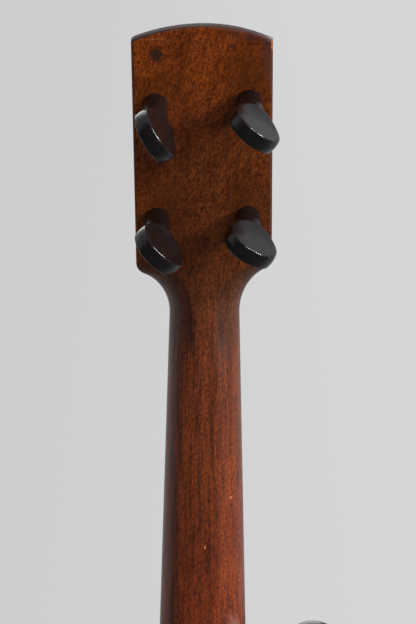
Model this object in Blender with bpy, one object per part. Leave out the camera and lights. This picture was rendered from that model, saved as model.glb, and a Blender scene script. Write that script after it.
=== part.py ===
"""A five-string fretless banjo, about 0.95 m long, in metres with +Z along the neck.

The playing side faces -Y. The origin lies on the neck's centre line under the peghead's shoulders,
where a wall hanger carries the instrument. Treble is the +X side, and the fifth peg stands at -X.
"""

import math

import bmesh
import bpy
from mathutils import Matrix, Vector

# Clearances: between pieces that touch, and between a turning peg and its hole.
GAP = 0.0003
PEG_CLEARANCE = 0.00025

# How far a cutter or joined shape runs on past the wall that it crosses, for thin walls and for thick ones.
CUTTER_MARGIN = 0.004
CUTTER_REACH = 0.020
JOINT_OVERLAP = 0.010
NECK_OVERRUN = 0.008

# String lengths and levels. The skin's playing face is y = 0, and less y is nearer to the player.
SCALE_LENGTH = 0.682
NUT_BELOW_ORIGIN = 0.012
NECK_FRONT_ABOVE_SKIN = 0.003
FINGERBOARD_THICKNESS = 0.0027
FIFTH_PEG_SHARE_OF_SCALE = 0.25

# Neck, as half-widths from the centre line and depths from the neck's front plane.
NECK_HALF_WIDTH_AT_NUT = {"treble": 0.0169, "bass": 0.0172}
NECK_HALF_WIDTH_AT_FIFTH = {"treble": 0.0225, "bass": 0.0207}
NECK_HALF_WIDTH_AT_HEEL = 0.0270
FIFTH_LEDGE_WIDTH = 0.0042
FIFTH_LEDGE_LENGTH = 0.0170
NECK_DEPTH_AT_NUT = 0.0195
NECK_DEPTH_AT_HEEL_START = 0.0225
NECK_SIDE_WALL = 0.0040
NECK_RIDGE_FLAT = 0.0030
EAR_SIDE_WALL = 0.0140
EAR_HALF_LENGTH = 0.0240
EAR_FLAT_SHARE = 0.35
HEEL_LENGTH = 0.082
HEEL_DEPTH = 0.055
HEEL_CURVE_POWER = 2.4

# Peghead: its back is flat and raked, its crown an arc, its shoulders a hollow and a round.
PEGHEAD_RAKE = math.radians(16.0)
PEGHEAD_LENGTH = 0.1566
PEGHEAD_ROOT_DEPTH = 0.013
PEGHEAD_TIP_DEPTH = 0.0082
PEGHEAD_EDGE_ROUND = 0.0015
PEGHEAD_BOTTOM_HALF = {"treble": 0.0328, "bass": 0.0326}
PEGHEAD_TOP_HALF = {"treble": 0.0343, "bass": 0.0323}
CROWN_RISE = {"treble": 0.0071, "bass": 0.0075}
SHOULDER_START = {"treble": 0.0005, "bass": 0.0008}
SHOULDER_HOLLOW = {"treble": 0.0252, "bass": 0.0300}
SHOULDER_ROUND = {"treble": 0.0078, "bass": 0.0060}
TONGUE_TOP = 0.0295
TONGUE_HALF_WIDTH = 0.0052
TONGUE_FADE = 0.0054
TONGUE_CREASE = math.radians(40.0)
TONGUE_CREASE_BELOW_NUT = 0.030
TONGUE_CREASE_ABOVE_NUT = 0.006
TONGUE_CREASE_RUN_OUT = 0.006
SHOULDER_SCOOP_POWER = 2.4
RIDGE_BEND = 0.0050
VENEER_THICKNESS = 0.0015

# Nut of the four long strings, and the fifth string's own small nut beside its peg.
NUT_THICKNESS = 0.0050
NUT_HEIGHT = 0.0036
NUT_EDGE_BEVEL = 0.0005
NUT_STRING_SPACING = 0.0084
FIFTH_NUT_RADIUS = 0.00175
FIFTH_NUT_HEIGHT = 0.0024
FIFTH_NUT_SEAT = 0.0015
FIFTH_NUT_FROM_EDGE = 0.0020
FIFTH_NUT_BELOW_PEG = 0.0195

# Pegs: a tapered shaft that flares into an egg-shaped blank, whose head is flattened on both sides. The
# flats spread towards the shaft and leave it just above the head's lower end. The outline's powers make it
# leaner below its widest place and fuller above it, and the ring shares count from there down and up.
PEG_SHAFT_RADIUS = 0.0058
FIFTH_PEG_SHAFT_RADIUS = 0.0048
PEG_TAPER = 0.02
PEG_TIP_LENGTH = 0.016
PEG_TIP_CHAMFER = 0.0006
FIFTH_PEG_SEAT = 0.024
FIFTH_PEG_DEPTH = 0.0070
PEG_HEAD_HALF_WIDTH = 0.0129
PEG_HEAD_LOWER = 0.0159
PEG_HEAD_UPPER = 0.0139
PEG_LOWER_POWER = 1.7
PEG_UPPER_POWER = 2.4
PEG_HEAD_THICKNESS = 0.0078
PEG_WEB = 0.0016
PEG_RUN_OUT = 0.0022
PEG_LOWER_RINGS = (0.95, 0.87, 0.80, 0.72, 0.60, 0.42, 0.20)
PEG_UPPER_RINGS = (0.0, 0.35, 0.64, 0.84, 0.94, 0.99)
PEG_SEGMENTS = 16

# Each peghead peg: share of the peghead's length from the nut line along its back, distance from the
# centre line, widest place's stand-off from the wood, turn of the head, and lean towards the bass side.
PEGHEAD_PEGS = {
    "peg_1": {"up": 0.3474, "out": 0.0225, "stand_off": 0.0299, "turn": 44.9, "lean": 1.8},
    "peg_2": {"up": 0.7395, "out": 0.0231, "stand_off": 0.0309, "turn": 32.6, "lean": 0.9},
    "peg_3": {"up": 0.7522, "out": -0.0214, "stand_off": 0.0281, "turn": 51.9, "lean": 3.8},
    "peg_4": {"up": 0.3544, "out": -0.0210, "stand_off": 0.0275, "turn": 59.2, "lean": 1.8},
}
FIFTH_PEG_STAND_OFF = 0.0302

# Strings: diameters, and each winding's turns on its peg, wound away from the string's own loop.
STRING_DIAMETERS = {1: 0.00066, 2: 0.00074, 3: 0.00088, 4: 0.00104, 5: 0.00066}
STRING_LOOP_STAND = 0.0035
FIFTH_LOOP_STAND = 0.0065
STRING_LOOP_TURN = math.radians(200.0)
WINDING_TURNS = 3
WINDING_SPACE = 0.00055
LOOP_POINTS = 24
STRING_BEND = 0.0008
STRING_END_BEHIND = 0.0012
BEND_MIDDLE = 0.3
BRIDGE_STRING_SPACING = 0.0115

# Pot: the wooden rim, the lapped skin, the flesh hoop in its lap and the tension hoop on top.
RIM_RADIUS = 0.146
RIM_WALL = 0.011
RIM_DEPTH = 0.062
POT_SEGMENTS = 48
SKIN_THICKNESS = 0.0006
FLESH_HOOP_SIZE = 0.0045
TENSION_HOOP_WIDTH = 0.0063
TENSION_HOOP_DEPTH = 0.0060
TENSION_HOOP_PROUD = 0.0018
TENSION_HOOP_BEVEL = 0.0010
HOOP_NOTCH_CLEARANCE = 0.0006
BRIDGE_BELOW_POT_CENTRE = 0.055

# Dowel stick inside the pot, its tenon in the heel, the wedge that draws the rim up, the end pin.
DOWEL_WIDTH = 0.022
DOWEL_DEPTH = 0.024
DOWEL_CENTRE_BELOW_SKIN = 0.024
DOWEL_EDGE_BEVEL = 0.0020
TENON_RADIUS = 0.0070
TENON_LENGTH = 0.028
WEDGE_LENGTH = 0.042
WEDGE_THICKNESS = 0.0060
WEDGE_TAPER = 0.0015
WEDGE_DEPTH = 0.0090
END_PIN_SHANK_RADIUS = 0.0032
END_PIN_SHANK_IN_DOWEL = 0.016
END_PIN_FLANGE_RADIUS = 0.0070
END_PIN_FLANGE_THICKNESS = 0.0020
END_PIN_FLANGE_CHAMFER = 0.0006
END_PIN_NECK_RADIUS = 0.0042
END_PIN_NECK_LENGTH = 0.0125
END_PIN_BUTTON_RADIUS = 0.0080
END_PIN_BUTTON_LENGTH = 0.0080

# The button's profile, as shares of its radius and of its length.
END_PIN_BUTTON_SHAPE = ((1.0, 0.15), (0.94, 0.6), (0.55, 1.0))

# Bracket stations round the rim: shoe, bolt through the rim, hook over the hoop and its nut.
STATION_ANGLES = (0.0, 60.0, 120.0, 180.0, 240.0, 300.0)
HOOK_RADIUS = 0.0019
HOOK_BEND = 0.0034
HOOK_FROM_HOOP = 0.0005
HOOK_CLAW = 0.0045
SHOE_CENTRE_BELOW_SKIN = 0.040
SHOE_FLANGE_RADIUS = 0.0080
SHOE_FLANGE_THICKNESS = 0.0022
SHOE_FLANGE_TOP_SHARE = 0.85
SHOE_FILLET = 0.0012
SHOE_NECK_RADIUS = 0.0041
SHOE_EAR_WIDTH = 0.0100
SHOE_EAR_DEPTH = 0.0090
SHOE_EAR_WALL = 0.0030
SHOE_EAR_BEVEL = 0.0012
BOLT_RADIUS = 0.0020
BOLT_HEAD_RADIUS = 0.0048
BOLT_HEAD_THICKNESS = 0.0030
BOLT_HEAD_TOP_SHARE = 0.6
BOLT_HEAD_SIDE_SHARE = 0.45
BOLT_GRIP_IN_SHOE = 0.0055
HOOK_NUT_WIDTH = 0.0085
HOOK_NUT_LENGTH = 0.0080
HOOK_TAIL = 0.0025

# Bridge, tailpiece and the gut that ties the tailpiece to the end pin.
BRIDGE_HEIGHT = 0.0118
BRIDGE_LENGTH = 0.070
BRIDGE_FOOT_THICKNESS = 0.0085
BRIDGE_TOP_THICKNESS = 0.0028
BRIDGE_ARCH_HEIGHT = 0.0062
BRIDGE_ARCH_WIDTH = 0.0170
BRIDGE_ARCH_STEPS = 6
BRIDGE_CENTRE_FOOT_SHARE = 0.42
BRIDGE_END_HEIGHT = 0.004
BRIDGE_END_SLOPE = 0.006
TAILPIECE_TOP_WIDTH = 0.058
TAILPIECE_TAIL_WIDTH = 0.030
TAILPIECE_LENGTH = 0.036
TAILPIECE_SIDE = 0.0124
TAILPIECE_THICKNESS = 0.0035
TAILPIECE_ABOVE_SKIN = 0.0050
TAILPIECE_FROM_HOOP = 0.0090
TAILPIECE_HOLE_FROM_EDGE = 0.0055
TAIL_GUT_RADIUS = 0.0011
TAIL_GUT_HALF_SPACING = 0.0085
TAIL_GUT_OVER_PLATE = 0.0009
TAIL_GUT_END_BEHIND = 0.0015
TAIL_GUT_BEND = 0.0014
TAIL_GUT_PAST_PLATE = 0.0005
TAIL_GUT_ONTO_HOOP = 0.0010
TAIL_GUT_HOOP_BEND = 0.0024
TAIL_GUT_NARROWING = (0.96, 0.94, 0.93, 0.92)
TAIL_GUT_LOOP_STEPS = 8

NUT_Z = -NUT_BELOW_ORIGIN
NECK_FRONT_Y = -NECK_FRONT_ABOVE_SKIN
FINGERBOARD_TOP_Y = NECK_FRONT_Y - GAP - FINGERBOARD_THICKNESS
BRIDGE_Z = NUT_Z - SCALE_LENGTH
POT_Z = BRIDGE_Z + BRIDGE_BELOW_POT_CENTRE
NECK_END_Z = POT_Z + RIM_RADIUS
FIFTH_PEG_BELOW_NUT = FIFTH_PEG_SHARE_OF_SCALE * SCALE_LENGTH
FIFTH_PEG_Z = NUT_Z - FIFTH_PEG_BELOW_NUT
VENEER_START_Z = NUT_Z + NUT_THICKNESS + GAP
PEGHEAD_TIP_Z = NUT_Z + PEGHEAD_LENGTH * math.cos(PEGHEAD_RAKE)

# A ring of POT_SEGMENTS flats lies this share of its corner radius from its centre.
FLAT = math.cos(math.pi / POT_SEGMENTS)
SKIN_INNER = RIM_RADIUS + GAP
HOOP_INNER = SKIN_INNER + SKIN_THICKNESS + GAP
HOOP_OUTER = HOOP_INNER + TENSION_HOOP_WIDTH
HOOP_FRONT_Y = -TENSION_HOOP_PROUD
HOOP_BACK_Y = HOOP_FRONT_Y + TENSION_HOOP_DEPTH
FLESH_HOOP_BACK_Y = HOOP_BACK_Y + GAP + FLESH_HOOP_SIZE
SKIN_LAP_Y = FLESH_HOOP_BACK_Y + GAP + SKIN_THICKNESS
RIM_FRONT_Y = SKIN_THICKNESS + GAP
RIM_BACK_Y = RIM_FRONT_Y + RIM_DEPTH
RIM_INNER = RIM_RADIUS - RIM_WALL
HOOK_CIRCLE = HOOP_OUTER + HOOK_FROM_HOOP + HOOK_RADIUS

PALETTE = {
    "neck_wood": ((0.115, 0.032, 0.010), 0.42, 0.0),
    "dark_veneer": ((0.030, 0.012, 0.008), 0.40, 0.0),
    "ebonised_wood": ((0.016, 0.013, 0.013), 0.38, 0.0),
    "bone": ((0.74, 0.66, 0.48), 0.45, 0.0),
    "gut": ((0.62, 0.46, 0.24), 0.45, 0.0),
    "rim_wood": ((0.30, 0.14, 0.055), 0.45, 0.0),
    "calfskin": ((0.72, 0.63, 0.47), 0.65, 0.0),
    "brass": ((0.55, 0.38, 0.14), 0.38, 1.0),
    "maple": ((0.45, 0.26, 0.11), 0.55, 0.0),
}


def material(name):
    """The named material from the palette, made once."""
    if name in bpy.data.materials:
        return bpy.data.materials[name]
    color, roughness, metallic = PALETTE[name]
    made = bpy.data.materials.new(name)
    made.use_nodes = True
    shader = made.node_tree.nodes["Principled BSDF"]
    shader.inputs["Base Color"].default_value = (*color, 1.0)
    shader.inputs["Roughness"].default_value = roughness
    shader.inputs["Metallic"].default_value = metallic
    return made


def add_object(name, data, finish=None, matrix=None):
    """Put the mesh or curve into the scene as one object with its material."""
    made = bpy.data.objects.new(name, data)
    bpy.context.scene.collection.objects.link(made)
    if finish and not data.materials:
        data.materials.append(material(finish))
    if matrix is not None:
        made.matrix_world = matrix
    return made


def mesh_from(points, faces, smooth=True):
    """A mesh of points and faces, with its faces turned outwards."""
    mesh = bpy.data.meshes.new("shape")
    mesh.from_pydata([tuple(point) for point in points], [], faces)
    work = bmesh.new()
    work.from_mesh(mesh)
    bmesh.ops.recalc_face_normals(work, faces=work.faces)
    work.to_mesh(mesh)
    work.free()
    if smooth:
        mesh.shade_smooth()
        mesh.set_sharp_from_angle(angle=math.radians(35.0))
    return mesh


def lofted(sections):
    """A closed solid through cross-sections that all have the same number of points."""
    count = len(sections[0])
    points = [point for section in sections for point in section]
    faces = []
    for row in range(len(sections) - 1):
        for column in range(count):
            after = (column + 1) % count
            low, high = row * count, (row + 1) * count
            faces.append((low + column, low + after, high + after, high + column))
    faces.append(tuple(range(count)))
    faces.append(tuple(range(len(points) - count, len(points))))
    return mesh_from(points, faces)


def turned(profile, segments, axis="Z", ring=False, phase=0.0):
    """A profile of (radius, height) turned round an axis; a ring's profile closes on itself."""
    points = []
    rows = []
    for radius, height in profile:
        if radius == 0.0:
            rows.append([len(points)])
            points.append((0.0, 0.0, height))
            continue
        rows.append([len(points) + step for step in range(segments)])
        for step in range(segments):
            angle = phase + 2.0 * math.pi * step / segments
            points.append((radius * math.cos(angle), radius * math.sin(angle), height))
    pairs = list(zip(rows, rows[1:]))
    if ring:
        pairs.append((rows[-1], rows[0]))
    faces = []
    for first, second in pairs:
        for step in range(segments):
            after = (step + 1) % segments
            if len(first) == 1:
                faces.append((first[0], second[step], second[after]))
            elif len(second) == 1:
                faces.append((first[step], first[after], second[0]))
            else:
                faces.append((first[step], first[after], second[after], second[step]))
    if axis == "Y":
        points = [(x, z, y) for x, y, z in points]
    return mesh_from(points, faces)


def pot_turned(profile, ring=False):
    """A profile of (radius, y) turned round the pot's axis, a flat facing each bracket station."""
    return turned(profile, POT_SEGMENTS, "Y", ring, math.pi / POT_SEGMENTS)


def drum(radius, start, end, segments, phase=0.0):
    """A plain round bar along Z, for holes and unions."""
    return turned([(0.0, start), (radius, start), (radius, end), (0.0, end)], segments, "Z", phase=phase)


def block(low, high):
    """A box between two corners."""
    corners = [(low[0], low[1]), (high[0], low[1]), (high[0], high[1]), (low[0], high[1])]
    return lofted([[(x, y, z) for x, y in corners] for z in (low[2], high[2])])


def helper(name, data, matrix=None):
    """A cutter or joined shape, kept out of renders."""
    made = add_object(name, data, matrix=matrix)
    made.hide_render = True
    made.display_type = "WIRE"
    return made


def combine(target, tool, operation="DIFFERENCE"):
    """Cut the tool from the target, or join it on."""
    change = target.modifiers.new(tool.name, "BOOLEAN")
    change.operation = operation
    change.solver = "EXACT"
    change.object = tool


def bevel(target, width):
    """Break the target's edges."""
    change = target.modifiers.new("edges", "BEVEL")
    change.width = width
    change.segments = 1
    change.limit_method = "ANGLE"
    change.angle_limit = math.radians(40.0)


def settled(target):
    """The target's mesh with its modifiers in it, for sharing among copies."""
    bpy.context.view_layer.update()
    graph = bpy.context.evaluated_depsgraph_get()
    return bpy.data.meshes.new_from_object(target.evaluated_get(graph))


def tube(name, points, radius, finish, matrix=None):
    """A round cord or rod along points, with closed ends."""
    curve = bpy.data.curves.new(name, "CURVE")
    curve.dimensions = "3D"
    curve.bevel_depth = radius
    curve.bevel_resolution = 1
    curve.use_fill_caps = True
    spline = curve.splines.new("POLY")
    spline.points.add(len(points) - 1)
    for spot, point in zip(spline.points, points):
        spot.co = (*point, 1.0)
    return add_object(name, curve, finish, matrix)


def ease(value, start, end):
    """Zero before start, one after end, and smooth between."""
    share = min(1.0, max(0.0, (value - start) / (end - start)))
    return share * share * (3.0 - 2.0 * share)


def neck_half_width(z, side):
    """Half-width of the neck below the nut; the bass side steps out below the fifth peg."""
    below = NUT_Z - z
    length = NUT_Z - NECK_END_Z
    at_nut = NECK_HALF_WIDTH_AT_NUT[side]
    at_fifth = NECK_HALF_WIDTH_AT_FIFTH[side]
    if below < FIFTH_PEG_BELOW_NUT:
        width = at_nut + below / FIFTH_PEG_BELOW_NUT * (at_fifth - at_nut)
    else:
        share = (below - FIFTH_PEG_BELOW_NUT) / (length - FIFTH_PEG_BELOW_NUT)
        width = at_fifth + share * (NECK_HALF_WIDTH_AT_HEEL - at_fifth)
    if side == "bass":
        half = FIFTH_LEDGE_LENGTH / 2.0
        width += FIFTH_LEDGE_WIDTH * ease(below, FIFTH_PEG_BELOW_NUT - half, FIFTH_PEG_BELOW_NUT + half)
    return width


def shoulder_turn(side):
    """Angle through which the shoulder's hollow and then its round turn."""
    rise = PEGHEAD_BOTTOM_HALF[side] - NECK_HALF_WIDTH_AT_NUT[side]
    return math.acos(1.0 - rise / (SHOULDER_HOLLOW[side] + SHOULDER_ROUND[side]))


def shoulder_top_z(side):
    """Height at which the shoulder's round meets the peghead's side."""
    reach = (SHOULDER_HOLLOW[side] + SHOULDER_ROUND[side]) * math.sin(shoulder_turn(side))
    return NUT_Z + SHOULDER_START[side] + reach


def crown_start_z(side):
    """Height of the crown's corner."""
    return PEGHEAD_TIP_Z - CROWN_RISE[side]


def peghead_half_width(z, side):
    """Half-width above the nut: a hollow arc, a round arc, a straight side, and the crown's arc."""
    rise = z - NUT_Z - SHOULDER_START[side]
    hollow = SHOULDER_HOLLOW[side]
    if rise <= 0.0:
        return NECK_HALF_WIDTH_AT_NUT[side]
    if rise <= hollow * math.sin(shoulder_turn(side)):
        return NECK_HALF_WIDTH_AT_NUT[side] + hollow - math.sqrt(hollow**2 - rise**2)
    top = shoulder_top_z(side)
    bottom = PEGHEAD_BOTTOM_HALF[side]
    if z < top:
        bend = SHOULDER_ROUND[side]
        return bottom - bend + math.sqrt(bend**2 - (top - z) ** 2)
    corner = crown_start_z(side)
    half = PEGHEAD_TOP_HALF[side]
    if z <= corner:
        return bottom + (half - bottom) * (z - top) / (corner - top)
    # On an arc through both corners, the half-chord at a height below the crown.
    radius = (half**2 + CROWN_RISE[side] ** 2) / (2.0 * CROWN_RISE[side])
    drop = PEGHEAD_TIP_Z - z
    return math.sqrt(max(0.0, 2.0 * radius * drop - drop**2))


def half_width(z, side):
    """Half-width of the neck and peghead at any height."""
    return neck_half_width(z, side) if z <= NUT_Z else peghead_half_width(z, side)


def peghead_back_y(z):
    """The peghead's flat back, carried down past the nut."""
    return NECK_FRONT_Y + PEGHEAD_ROOT_DEPTH + math.tan(PEGHEAD_RAKE) * (z - NUT_Z)


def ridge_y(z):
    """The back of the neck on its centre line: ridge, heel, and the bend into the peghead's back."""
    below = NUT_Z - z
    heel_start = NUT_Z - NECK_END_Z - HEEL_LENGTH
    share = min(1.0, max(0.0, below / heel_start))
    depth = NECK_DEPTH_AT_NUT + share * (NECK_DEPTH_AT_HEEL_START - NECK_DEPTH_AT_NUT)
    if below > heel_start:
        swell = (below - heel_start) / HEEL_LENGTH
        depth += (HEEL_DEPTH - NECK_DEPTH_AT_HEEL_START) * swell**HEEL_CURVE_POWER
    slope = math.tan(PEGHEAD_RAKE)
    meeting = NUT_Z + (NECK_DEPTH_AT_NUT - PEGHEAD_ROOT_DEPTH) / slope
    bend = slope * RIDGE_BEND * math.log1p(math.exp((z - meeting) / RIDGE_BEND))
    return NECK_FRONT_Y + depth + bend


def front_y(z):
    """The wood's front: level under the fingerboard and nut, then raked to the peghead's tip."""
    if z <= VENEER_START_Z:
        return NECK_FRONT_Y
    tip = peghead_back_y(PEGHEAD_TIP_Z) - PEGHEAD_TIP_DEPTH
    share = (z - VENEER_START_Z) / (PEGHEAD_TIP_Z - VENEER_START_Z)
    return NECK_FRONT_Y + share * (tip - NECK_FRONT_Y)


def flat_half_width(z, side):
    """Half-width of the flat on the back: the ridge, the tongue, and the whole peghead."""
    below = NUT_Z - z
    if below > 0.0:
        share = math.exp(-below / (10.0 * TONGUE_FADE))
        return NECK_RIDGE_FLAT + (TONGUE_HALF_WIDTH - NECK_RIDGE_FLAT) * share
    full = PEGHEAD_BOTTOM_HALF[side] - TONGUE_HALF_WIDTH
    tongue = TONGUE_HALF_WIDTH + full * math.exp((-below - TONGUE_TOP) / TONGUE_FADE)
    width = half_width(z, side)
    return min(tongue, max(width - PEGHEAD_EDGE_ROUND, width * 0.5))


def side_wall_y(z, side):
    """How far back the upright side runs: a narrow edge on the neck, all of it on the peghead."""
    shallow = NECK_FRONT_Y + NECK_SIDE_WALL
    if z > NUT_Z:
        narrow = NECK_HALF_WIDTH_AT_NUT[side]
        share = min(1.0, (half_width(z, side) - narrow) / (PEGHEAD_BOTTOM_HALF[side] - narrow))
        share = share**SHOULDER_SCOOP_POWER
        if z > shoulder_top_z(side):
            share = 1.0
        shallow = front_y(z) + NECK_SIDE_WALL
        return shallow + share * (ridge_y(z) - PEGHEAD_EDGE_ROUND - shallow)
    if side == "bass":
        away = abs(z - FIFTH_PEG_Z)
        fade = ease(away, EAR_HALF_LENGTH * EAR_FLAT_SHARE, EAR_HALF_LENGTH)
        shallow += (EAR_SIDE_WALL - NECK_SIDE_WALL) * (1.0 - fade)
    return shallow


def crease_angle(z, side):
    """Angle at which the flank's curve meets the flat: less than a right angle beside the tongue."""
    top = shoulder_top_z(side)
    below = ease(z, NUT_Z - TONGUE_CREASE_BELOW_NUT, NUT_Z + TONGUE_CREASE_ABOVE_NUT)
    above = 1.0 - ease(z, top - TONGUE_CREASE_RUN_OUT, top)
    return 0.5 * math.pi - TONGUE_CREASE * below * above


def flank(z, side, steps=6):
    """Points from the front corner down the side and round to the flat, for one side."""
    width = half_width(z, side)
    flat = flat_half_width(z, side)
    wall = side_wall_y(z, side)
    ridge = ridge_y(z)
    last = crease_angle(z, side)
    points = [(width, front_y(z)), (width, wall)]
    for step in range(1, steps):
        angle = last * step / steps
        out = (math.cos(angle) - math.cos(last)) / (1.0 - math.cos(last))
        back = math.sin(angle) / math.sin(last)
        points.append((flat + (width - flat) * out, wall + (ridge - wall) * back))
    points.append((flat, ridge))
    return points


def neck_section(z):
    """One closed cross-section of the neck."""
    treble = [(x, y, z) for x, y in flank(z, "treble")]
    bass = [(-x, y, z) for x, y in reversed(flank(z, "bass"))]
    return treble + bass


def spread(start, end, count):
    """Evenly spaced values from start up to, but without, end."""
    return [start + (end - start) * step / count for step in range(count)]


def crown_heights(count):
    """Heights up the crown, closer together towards its top, with both corners among them."""
    corners = [crown_start_z(side) for side in ("treble", "bass")]
    rise = PEGHEAD_TIP_Z - min(corners)
    return corners + [PEGHEAD_TIP_Z - rise * (1.0 - step / count) ** 2 for step in range(1, count)]


def peghead_heights():
    """Heights of the sections from the veneer's start over the shoulders to the crown."""
    shoulder_top = max(shoulder_top_z("treble"), shoulder_top_z("bass"))
    heights = spread(VENEER_START_Z, shoulder_top, 11)
    heights += spread(shoulder_top, min(crown_start_z("treble"), crown_start_z("bass")), 2)
    return sorted(set(heights + crown_heights(7)))


def neck_heights():
    """Heights of the sections from the heel to the nut, close together where the shape changes."""
    heel_top = NECK_END_Z + HEEL_LENGTH
    ear_low = FIFTH_PEG_Z - EAR_HALF_LENGTH
    ear_high = FIFTH_PEG_Z + EAR_HALF_LENGTH
    heights = spread(NECK_END_Z - NECK_OVERRUN, heel_top, 9)
    heights += spread(heel_top, ear_low, 4)
    heights += spread(ear_low, ear_high, 10)
    return heights + spread(ear_high, NUT_Z, 4)


def peg_axis(lean):
    """Direction from a peghead peg's tip to its head, leaning from the square by some degrees."""
    square = Vector((0.0, math.cos(PEGHEAD_RAKE), -math.sin(PEGHEAD_RAKE)))
    tilt = Matrix.Rotation(math.radians(lean), 3, peghead_up())
    return tilt @ square


def peghead_up():
    """Direction along the peghead's back, away from the neck."""
    return Vector((0.0, math.sin(PEGHEAD_RAKE), math.cos(PEGHEAD_RAKE)))


def frame_matrix(origin, up, axis):
    """A frame whose Z is the axis and whose X is as near to up as it can be."""
    z = axis.normalized()
    y = z.cross(up).normalized()
    x = y.cross(z)
    return Matrix.Translation(origin) @ Matrix((x, y, z)).transposed().to_4x4()


def peghead_peg_frame(peg):
    """Frame of a peghead peg, with its origin on the peghead's back and Z towards the head."""
    foot = Vector((peg["out"], peghead_back_y(NUT_Z), NUT_Z)) + peghead_up() * peg["up"] * PEGHEAD_LENGTH
    return frame_matrix(foot, peghead_up(), peg_axis(peg["lean"]))


def fifth_peg_frame():
    """Frame of the fifth peg, with its origin on the neck's bass side and Z towards the head."""
    side = neck_half_width(FIFTH_PEG_Z, "bass")
    origin = Vector((-side, NECK_FRONT_Y + FIFTH_PEG_DEPTH, FIFTH_PEG_Z))
    return frame_matrix(origin, Vector((0.0, 0.0, 1.0)), Vector((-1.0, 0.0, 0.0)))


def peghead_thickness(peg):
    """Wood and veneer that a peghead peg passes through, along the peg."""
    height = NUT_Z + peg["up"] * PEGHEAD_LENGTH * math.cos(PEGHEAD_RAKE)
    through = peghead_back_y(height) - front_y(height) + GAP + VENEER_THICKNESS
    return through * math.cos(PEGHEAD_RAKE)


def shaft_radius(base, z):
    """Radius of a tapered peg at a height above where it leaves the wood."""
    return base + PEG_TAPER * z / 2.0


def blank_radius(base, stand_off, z):
    """Radius of a peg before its head is flattened: the shaft flares into an egg shape."""
    above = z > stand_off
    length = PEG_HEAD_UPPER if above else PEG_HEAD_LOWER
    power = PEG_UPPER_POWER if above else PEG_LOWER_POWER
    share = min(1.0, abs(z - stand_off) / length)
    egg = PEG_HEAD_HALF_WIDTH * (1.0 - share**power) ** (1.0 / power)
    if above:
        return egg
    shaft = shaft_radius(base, z)
    near = max(0.0, PEG_WEB - abs(shaft - egg))
    return max(shaft, egg) + near**2 / (4.0 * PEG_WEB)


def flat_distance(base, stand_off, z):
    """Distance of a peg's flats from its axis: half the head's thickness, spreading towards the shaft."""
    half = PEG_HEAD_THICKNESS / 2.0
    depth = max(0.0, stand_off - z) / (PEG_HEAD_LOWER - PEG_RUN_OUT)
    return half + (shaft_radius(base, stand_off - PEG_HEAD_LOWER) - half) * depth**2


def peg_ring(radius, flat, z):
    """Points round a peg at one height: a circle cut by two flats, with a point at each corner."""
    corner = min(0.25 * math.pi, math.asin(min(1.0, flat / radius)))
    middle = 0.5 * corner + 0.25 * math.pi
    half_turn = [0.0, 0.5 * corner, corner, middle, 0.5 * math.pi]
    half_turn += [math.pi - middle, math.pi - corner, math.pi - 0.5 * corner]
    ring = []
    for angle in half_turn + [math.pi + angle for angle in half_turn]:
        side = abs(math.sin(angle))
        reach = radius if side * radius <= flat else flat / side
        ring.append((reach * math.cos(angle), reach * math.sin(angle), z))
    return ring


def peg_mesh(name, base, tip_z, stand_off, turn, matrix):
    """A peg: a tapered shaft that flares into an oval head with two flats."""
    heights = [tip_z + PEG_TIP_CHAMFER, 0.0]
    heights += [stand_off - share * PEG_HEAD_LOWER for share in PEG_LOWER_RINGS]
    heights += [stand_off + share * PEG_HEAD_UPPER for share in PEG_UPPER_RINGS]
    rings = [peg_ring(shaft_radius(base, tip_z) - PEG_TIP_CHAMFER, PEG_HEAD_HALF_WIDTH, tip_z)]
    for z in heights:
        rings.append(peg_ring(blank_radius(base, stand_off, z), flat_distance(base, stand_off, z), z))
    shape = lofted(rings)
    shape.transform(Matrix.Rotation(math.radians(turn), 4, "Z"))
    return add_object(name, shape, "ebonised_wood", matrix)


def peg_hole(name, base, deep_z, matrix):
    """A tapered hole for a peg, reaching past the wood on the head's side."""
    outside = CUTTER_MARGIN
    room = PEG_CLEARANCE
    share = math.cos(math.pi / PEG_SEGMENTS)
    low = (shaft_radius(base, deep_z) + room) / share
    high = (shaft_radius(base, outside) + room) / share
    profile = [(0.0, deep_z), (low, deep_z), (high, outside), (0.0, outside)]
    return helper(name + "_hole", turned(profile, PEG_SEGMENTS), matrix)


def circle_point(matrix, radius, angle, z):
    """A point at an angle round a peg, in the instrument's frame."""
    return matrix @ Vector((radius * math.cos(angle), radius * math.sin(angle), z))


def string_onto_peg(matrix, start, radius, sense, z):
    """Where a string from start first touches a circle round the peg, and its loop from there."""
    seen = matrix.inverted() @ start
    distance = math.hypot(seen.x, seen.y)
    angle = math.atan2(seen.y, seen.x) + sense * math.acos(radius / distance)
    steps = int(LOOP_POINTS * STRING_LOOP_TURN / (2.0 * math.pi))
    angles = [angle + sense * STRING_LOOP_TURN * step / steps for step in range(steps + 1)]
    return [circle_point(matrix, radius, each, z) for each in angles], angles[-1]


def least_gap(points, diameter):
    """Least distance between turns of a winding, surface to surface."""
    apart = LOOP_POINTS // 2
    pairs = ((a, b) for i, a in enumerate(points) for b in points[i + apart :])
    return min((a - b).length for a, b in pairs) - diameter


def winding(name, peg, matrix, radius, start_angle, sense, start_z, direction, diameter):
    """A string's turns on its peg, one unbroken tube, that turn with the peg."""
    pitch = diameter + WINDING_SPACE
    points = []
    for step in range(WINDING_TURNS * LOOP_POINTS + 1):
        turns = step / LOOP_POINTS
        angle = start_angle + sense * 2.0 * math.pi * turns
        z = start_z + direction * pitch * (1.0 + turns)
        points.append(Vector((radius * math.cos(angle), radius * math.sin(angle), z)))
    print(name, "least gap between turns, mm:", round(least_gap(points, diameter) * 1000.0, 2))
    made = tube(name, points, diameter / 2.0, "gut")
    made.parent = peg
    return made


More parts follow.
